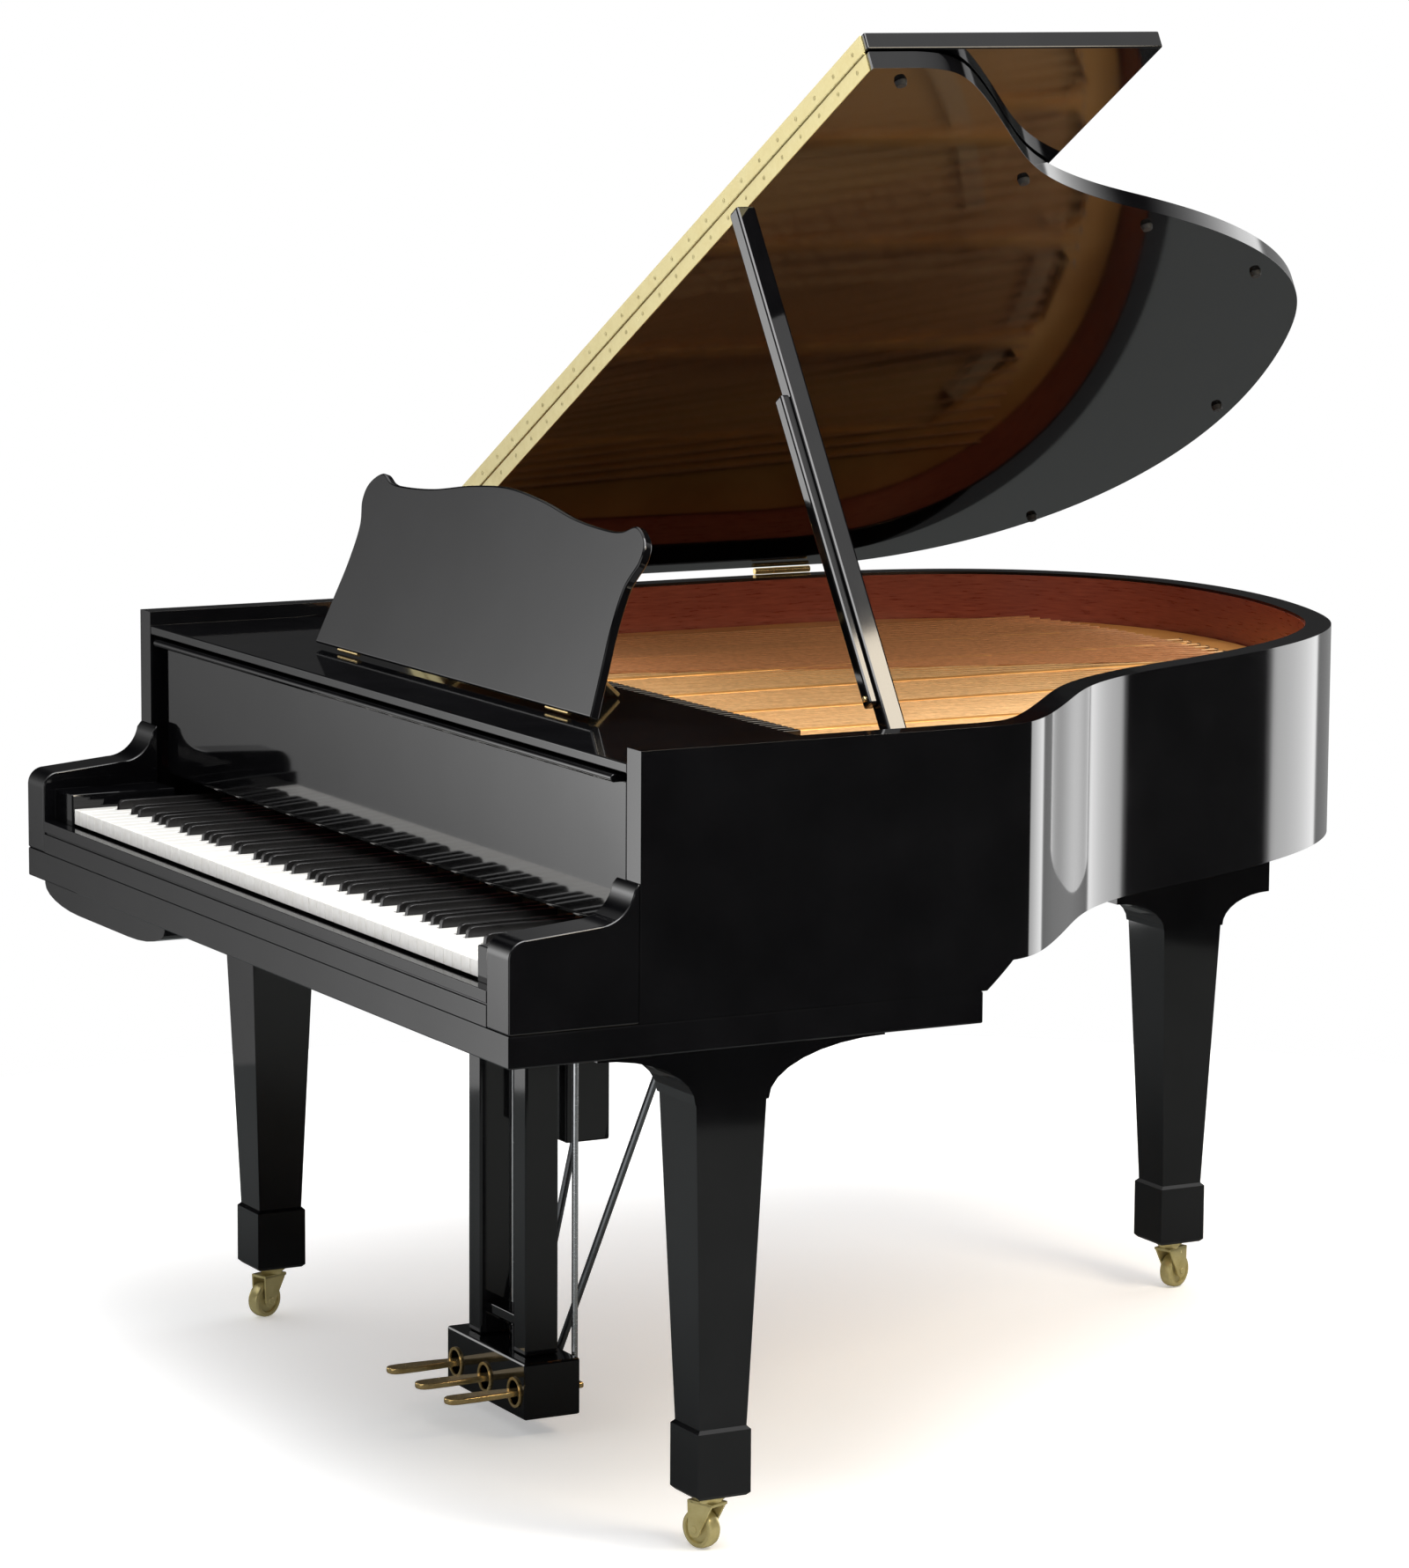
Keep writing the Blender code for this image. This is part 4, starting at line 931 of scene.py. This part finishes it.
def make_lid():
    make_main_lid()
    make_flap()
    make_leaf(1, "lid", "flap_hinge_lid_leaf", OPEN_LID, 0)
    make_leaf(-1, "lid_flap", "flap_hinge_flap_leaf", OPEN_LID @ FOLD_FLAP, 1)
    make_lid_buttons()
    make_lid_hinge("front")
    make_lid_hinge("rear")


# Lid prop fittings

def make_prop_fittings():
    """Two brass pins near the foot of the prop, the second one 80 mm along it."""
    foot = Vector(JOINTS["prop_fold"]["pos_m"]) - Vector((CENTRE_X, FRONT_Y, 0))
    lowest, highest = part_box("lid_prop")
    tip = Vector((lowest.x - CENTRE_X + 0.011, foot.y, highest.z - 0.006))
    along = (tip - foot).normalized()
    bm = bmesh.new()
    add_rod(bm, foot - Vector((0, 0.0150, 0)), foot + Vector((0, 0.0150, 0)), 0.0050, 20)
    second = foot + along * 0.080
    add_rod(bm, second - Vector((0, 0.0285, 0)), second + Vector((0, 0.0145, 0)), 0.0035, 20)
    pins = new_piece("prop_pins", bm, BRASS, "prop")
    round_edges(pins, 0.0008, 2)


# Casters

def caster_place(where):
    """A caster's working-frame matrix, turned about its upright pin, and its trail."""
    swivel = Vector(JOINTS[f"caster_{where}_swivel"]["pos_m"])
    axle = Vector(JOINTS[f"caster_{where}_roll"]["pos_m"])
    trail = axle - swivel
    angle = math.atan2(-trail.x, trail.y)
    spot = Vector((swivel.x - CENTRE_X, swivel.y - FRONT_Y, 0))
    return Matrix.Translation(spot) @ Matrix.Rotation(angle, 4, "Z"), trail.xy.length


def make_caster(where):
    """Brass fork with round ears and a crowned wheel."""
    matrix, trail = caster_place(where)
    radius = JOINTS[f"caster_{where}_roll"]["pos_m"][2]
    top = high("caster_fork_" + where).z
    bm = bmesh.new()
    add_turned(bm, [(0, top), (0.0195, top), (0.0200, top - 0.001), (0.0200, top - 0.004),
                    (0.0150, top - 0.008), (0.0130, top - 0.0135), (0, top - 0.0135)], Matrix.Identity(4))
    for side in (-1, 1):
        ear = arc((trail, radius), 0.0095, 180, 360, 12)
        ear += [(trail + 0.011, top - 0.011), (trail - 0.029, top - 0.011)]
        inner, outer = side * 0.0105, side * 0.0135
        add_prism(bm, ear, side_view(min(inner, outer), max(inner, outer)))
        add_rod(bm, (side * 0.0134, trail, radius), (side * 0.0150, trail, radius), 0.0050, 20, 0.0040)
    add_block(bm, (-0.0135, trail - 0.029, top - 0.0145), (0.0135, trail + 0.011, top - 0.0105))
    fork = new_piece("caster_yoke_" + where, bm, PALE_BRASS, "caster_fork_" + where, matrix)
    round_edges(fork, 0.0008, 2)
    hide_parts("caster_fork_" + where)
    bm = bmesh.new()
    half = 0.009
    tread = [(radius - 0.0030, half), (radius - 0.0010, half - 0.0015), (radius, half - 0.005)]
    profile = [(0, half + 0.0008), (0.0060, half + 0.0008), (0.0065, half - 0.002),
               (radius - 0.0075, half - 0.003), (radius - 0.0065, half)] + tread
    profile += [(r, -z) for r, z in reversed(profile)]
    across = Matrix.Translation((0, trail, radius)) @ Matrix.Rotation(math.radians(90), 4, "Y")
    add_turned(bm, profile, across, 48)
    wheel = new_piece("caster_roller_" + where, bm, PALE_BRASS, "caster_wheel_" + where,
                      matrix)
    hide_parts("caster_wheel_" + where)


# Pedals

def make_pedal(where):
    """Cast brass pedal: domed toe, waisted shank, flat tail."""
    lowest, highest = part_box("pedal_" + where)
    centre = (lowest.x + highest.x) / 2 - CENTRE_X
    front = lowest.y - FRONT_Y
    back = highest.y - FRONT_Y
    bottom, top = lowest.z, highest.z
    half_line = [(0.0, front), (0.0075, front + 0.0020), (0.0115, front + 0.0070), (0.0130, front + 0.0160),
                 (0.0128, front + 0.040), (0.0112, front + 0.070), (0.0085, front + 0.095), (0.0078, back)]
    bm = bmesh.new()
    right = half_line
    left = [(-x, y) for x, y in reversed(half_line[1:])]
    loop = [(centre + x, y) for x, y in right + left]
    add_prism(bm, loop, plan(bottom, top))
    pedal = new_piece("pedal_lever_" + where, bm, BRASS, "pedal_" + where)
    round_edges(pedal, 0.0026, 5)
    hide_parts("pedal_" + where)


def make_pedals():
    for where in ("soft", "sostenuto", "damper"):
        make_pedal(where)
    bm = bmesh.new()
    front = low("lyre_box").y - FRONT_Y
    for where in ("soft", "sostenuto", "damper"):
        lowest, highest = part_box("pedal_" + where)
        x = (lowest.x + highest.x) / 2 - CENTRE_X
        z = (lowest.z + highest.z) / 2
        outer = arc((x, z), 0.0195, 0, 345, 23)
        inner = [(x + math.cos(a) * 0.0150, z + math.sin(a) * 0.0160)
                 for a in [2 * math.pi * step / 24 for step in range(24)]]
        count = len(outer)
        rings = []
        for loop, y in ((outer, front - 0.0003), (outer, front - 0.0022), (inner, front - 0.0022),
                        (inner, front - 0.0003)):
            rings.append([bm.verts.new((u, y, v)) for u, v in loop])
        for a, b in zip(rings, rings[1:] + rings[:1]):
            for index in range(count):
                after = (index + 1) % count
                bm.faces.new((a[index], a[after], b[after], b[index]))
    new_piece("pedal_escutcheons", bm, BRASS, "case")


# Small wooden pieces of the case

def make_key_slip():
    """Key slip with a groove along its face."""
    lowest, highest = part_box("key_slip")
    back = highest.y - FRONT_Y
    half = highest.x - CENTRE_X
    groove = highest.z - 0.016
    loop = [(0.0, lowest.z), (back, lowest.z), (back, highest.z), (0.0, highest.z),
            (0.0, groove + 0.0012), (0.0025, groove + 0.0012), (0.0025, groove - 0.0012),
            (0.0, groove - 0.0012)]
    bm = bmesh.new()
    add_prism(bm, loop, side_view(-half, half))
    slip = new_piece("key_slip_board", bm, LACQUER, "case")
    round_edges(slip, 0.0010)
    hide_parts("key_slip")


def make_lyre_fittings():
    """Box around the rods under the keybed and a bar between the posts."""
    top = low("keybed").z - 0.0006
    rods = high("pedal_rod_damper").y - FRONT_Y
    bm = bmesh.new()
    add_block(bm, (-0.048, rods + 0.004, top - 0.258), (0.044, rods + 0.066, top))
    box = new_piece("trapwork_box", bm, LACQUER, "case")
    round_edges(box, 0.003)
    base = high("lyre_box").z
    middle = (low("lyre_post_bass").y + high("lyre_post_bass").y) / 2 - FRONT_Y
    reach = low("lyre_post_treble").x - CENTRE_X + 0.001
    bm = bmesh.new()
    add_block(bm, (-reach, middle - 0.014, base + 0.030), (reach, middle + 0.014, base + 0.044))
    bar = new_piece("lyre_bar", bm, LACQUER, "case")
    round_edges(bar, 0.002)


# CAD nodes that stay, with materials and rounded edges

def dress(nodes, material, bevel=0.0):
    for name in nodes:
        node = NODES[name]
        node.data.materials.clear()
        node.data.materials.append(material)
        soften(node.data)
        if bevel:
            round_edges(node, bevel)


def dress_frame():
    dress(["keybed", "key_block_bass", "key_block_treble", "name_board", "lyre_block", "lyre_post_bass",
           "lyre_post_treble", "lyre_box", "lid_prop", "half_prop"], LACQUER)
    dress(["leg_bass", "leg_treble", "leg_tail", "leg_bracket_bass", "leg_bracket_treble",
           "leg_bracket_tail", "control_box"], LACQUER, 0.002)
    dress(["desk_strut_bass", "desk_strut_treble", "prop_bracket"], BRASS)
    dress(["pedal_rod_soft", "pedal_rod_sostenuto", "pedal_rod_damper"], STEEL)
    dress(["lyre_brace_bass", "lyre_brace_treble"], DARK_STEEL)
    dress(["belly_rail"], BEECH, 0.002)
    dress(["treble_bridge", "bass_bridge"], BEECH)
    dress(["soundboard"], SPRUCE)


# Stage, light and camera

FLOOR_RADIUS = 2.3
ROOM_STRENGTH = 4.0
CEILING = 0.30
# Brightness of the walls by compass direction: dark, with a panel left of the keys that grows
# brighter towards the treble, one at the front right, a bright one behind the tail's right and
# a dim grey one beyond it.
WALLS = ((-180, 0.010), (-163, 0.030), (-159, 0.06), (-156, 0.14), (-153.5, 0.30), (-151.5, 0.80),
         (-148, 0.80), (-143, 0.05), (-92, 0.02), (-80, 0.40), (-50, 0.40), (-40, 0.010), (91, 0.008),
         (93, 0.85), (115, 0.85), (117, 0.13), (140, 0.09), (143, 0.010), (180, 0.010))


def make_stage():
    """Round pale floor, wide enough for the piano and its shadow, dim in reflections."""
    bm = bmesh.new()
    bmesh.ops.create_circle(bm, cap_ends=True, radius=FLOOR_RADIUS, segments=128)
    mesh = bpy.data.meshes.new("floor")
    bm.to_mesh(mesh)
    bm.free()
    material, tree, shader = new_material("floor_paint", (0.86, 0.86, 0.86), 0.7)
    shader.inputs["Emission Color"].default_value = (1.0, 1.0, 1.0, 1.0)
    shader.inputs["Emission Strength"].default_value = 0.35
    rays = tree.nodes.new("ShaderNodeLightPath")
    dim = add_node(tree, "ShaderNodeBsdfDiffuse", Color=(0.16, 0.17, 0.17, 1.0))
    mix = tree.nodes.new("ShaderNodeMixShader")
    output = tree.nodes["Material Output"]
    tree.links.new(rays.outputs["Is Glossy Ray"], mix.inputs["Fac"])
    tree.links.new(shader.outputs["BSDF"], mix.inputs[1])
    tree.links.new(dim.outputs["BSDF"], mix.inputs[2])
    tree.links.new(mix.outputs["Shader"], output.inputs["Surface"])
    floor = bpy.data.objects.new("floor", mesh)
    mesh.materials.append(material)
    bpy.context.scene.collection.objects.link(floor)
    floor.location = (0, 0, -0.0005)


def area_light(name, place, target, size, power, colour=(1.0, 1.0, 1.0)):
    data = bpy.data.lights.new(name, "AREA")
    data.shape = "RECTANGLE"
    data.size, data.size_y = size
    data.energy = power
    data.color = colour
    lamp = bpy.data.objects.new(name, data)
    bpy.context.scene.collection.objects.link(lamp)
    lamp.location = place
    lamp.rotation_euler = (Vector(target) - Vector(place)).to_track_quat("-Z", "Y").to_euler()


def grey(value):
    return (value, value, value)


def compass(degrees):
    """Place on a 0..1 ramp of a compass direction, counted from +X towards +Y."""
    return (degrees + 180) / 360


def math_node(tree, operation, first, second):
    node = tree.nodes.new("ShaderNodeMath")
    node.operation = operation
    for socket, value in zip(node.inputs, (first, second)):
        if isinstance(value, float):
            socket.default_value = value
        else:
            tree.links.new(value, socket)
    return node.outputs["Value"]


def blend_colours(tree, mode, first, second):
    node = tree.nodes.new("ShaderNodeMixRGB")
    node.blend_type = mode
    node.inputs["Fac"].default_value = 1.0
    tree.links.new(first, node.inputs["Color1"])
    tree.links.new(second, node.inputs["Color2"])
    return node.outputs["Color"]


def make_world():
    """Dark studio with a few tall soft panels and a bright ceiling, on a white background."""
    world = bpy.data.worlds.new("studio")
    bpy.context.scene.world = world
    world.use_nodes = True
    tree = world.node_tree
    direction = tree.nodes.new("ShaderNodeTexCoord")
    parts = tree.nodes.new("ShaderNodeSeparateXYZ")
    tree.links.new(direction.outputs["Generated"], parts.inputs["Vector"])
    angle = math_node(tree, "ARCTAN2", parts.outputs["Y"], parts.outputs["X"])
    turn = math_node(tree, "MULTIPLY_ADD", angle, 1 / (2 * math.pi))
    turn.node.inputs[2].default_value = 0.5
    walls = ramp(tree, turn, [(compass(at), grey(level)) for at, level in WALLS])
    height = ramp(tree, parts.outputs["Z"], [(0.25, grey(1.0)), (0.42, grey(0.0))])
    panels = blend_colours(tree, "MULTIPLY", walls, height)
    ceiling = ramp(tree, parts.outputs["Z"], [(0.45, grey(0.0)), (0.75, grey(CEILING))])
    total = blend_colours(tree, "ADD", panels, ceiling)
    room = tree.nodes["Background"]
    tree.links.new(total, room.inputs["Color"])
    room.inputs["Strength"].default_value = ROOM_STRENGTH
    white = tree.nodes.new("ShaderNodeBackground")
    white.inputs["Color"].default_value = (1.0, 1.0, 1.0, 1.0)
    rays = tree.nodes.new("ShaderNodeLightPath")
    mix = tree.nodes.new("ShaderNodeMixShader")
    tree.links.new(rays.outputs["Is Camera Ray"], mix.inputs["Fac"])
    tree.links.new(room.outputs["Background"], mix.inputs[1])
    tree.links.new(white.outputs["Background"], mix.inputs[2])
    tree.links.new(mix.outputs["Shader"], tree.nodes["World Output"].inputs["Surface"])


def make_lights():
    make_world()
    bpy.context.scene.view_settings.view_transform = "Standard"
    area_light("overhead", (1.2, -0.6, 4.2), (0, 0, 0.8), (3.0, 3.0), 215)
    area_light("interior", (2.6, 1.0, 3.0), (0.0, 0.3, 0.9), (1.2, 1.2), 75, (1.0, 0.88, 0.70))


def make_camera():
    data = bpy.data.cameras.new("camera")
    data.lens = 130.3
    data.sensor_width = 36.0
    camera = bpy.data.objects.new("camera", data)
    bpy.context.scene.collection.objects.link(camera)
    camera.location = TO_WORLD @ Vector((6.317, -2.747, 1.897))
    camera.rotation_euler = (math.radians(90 - 8.704), math.radians(-0.336), math.radians(61.874))
    bpy.context.scene.camera = camera


make_camera()
make_rim()
make_arm(-1, "bass")
make_arm(1, "treble")
make_inner_rim()
make_rim_lining()
make_soundboard_ribs()
make_plate()
make_treble_strings()
make_bass_strings()
make_dampers()
make_keyboard()
make_fallboard()
make_music_shelf()
make_music_desk()
make_lid()
make_prop_fittings()
for corner in ("bass", "treble", "tail"):
    make_caster(corner)
make_pedals()
make_key_slip()
make_lyre_fittings()
dress_frame()
make_stage()
make_lights()
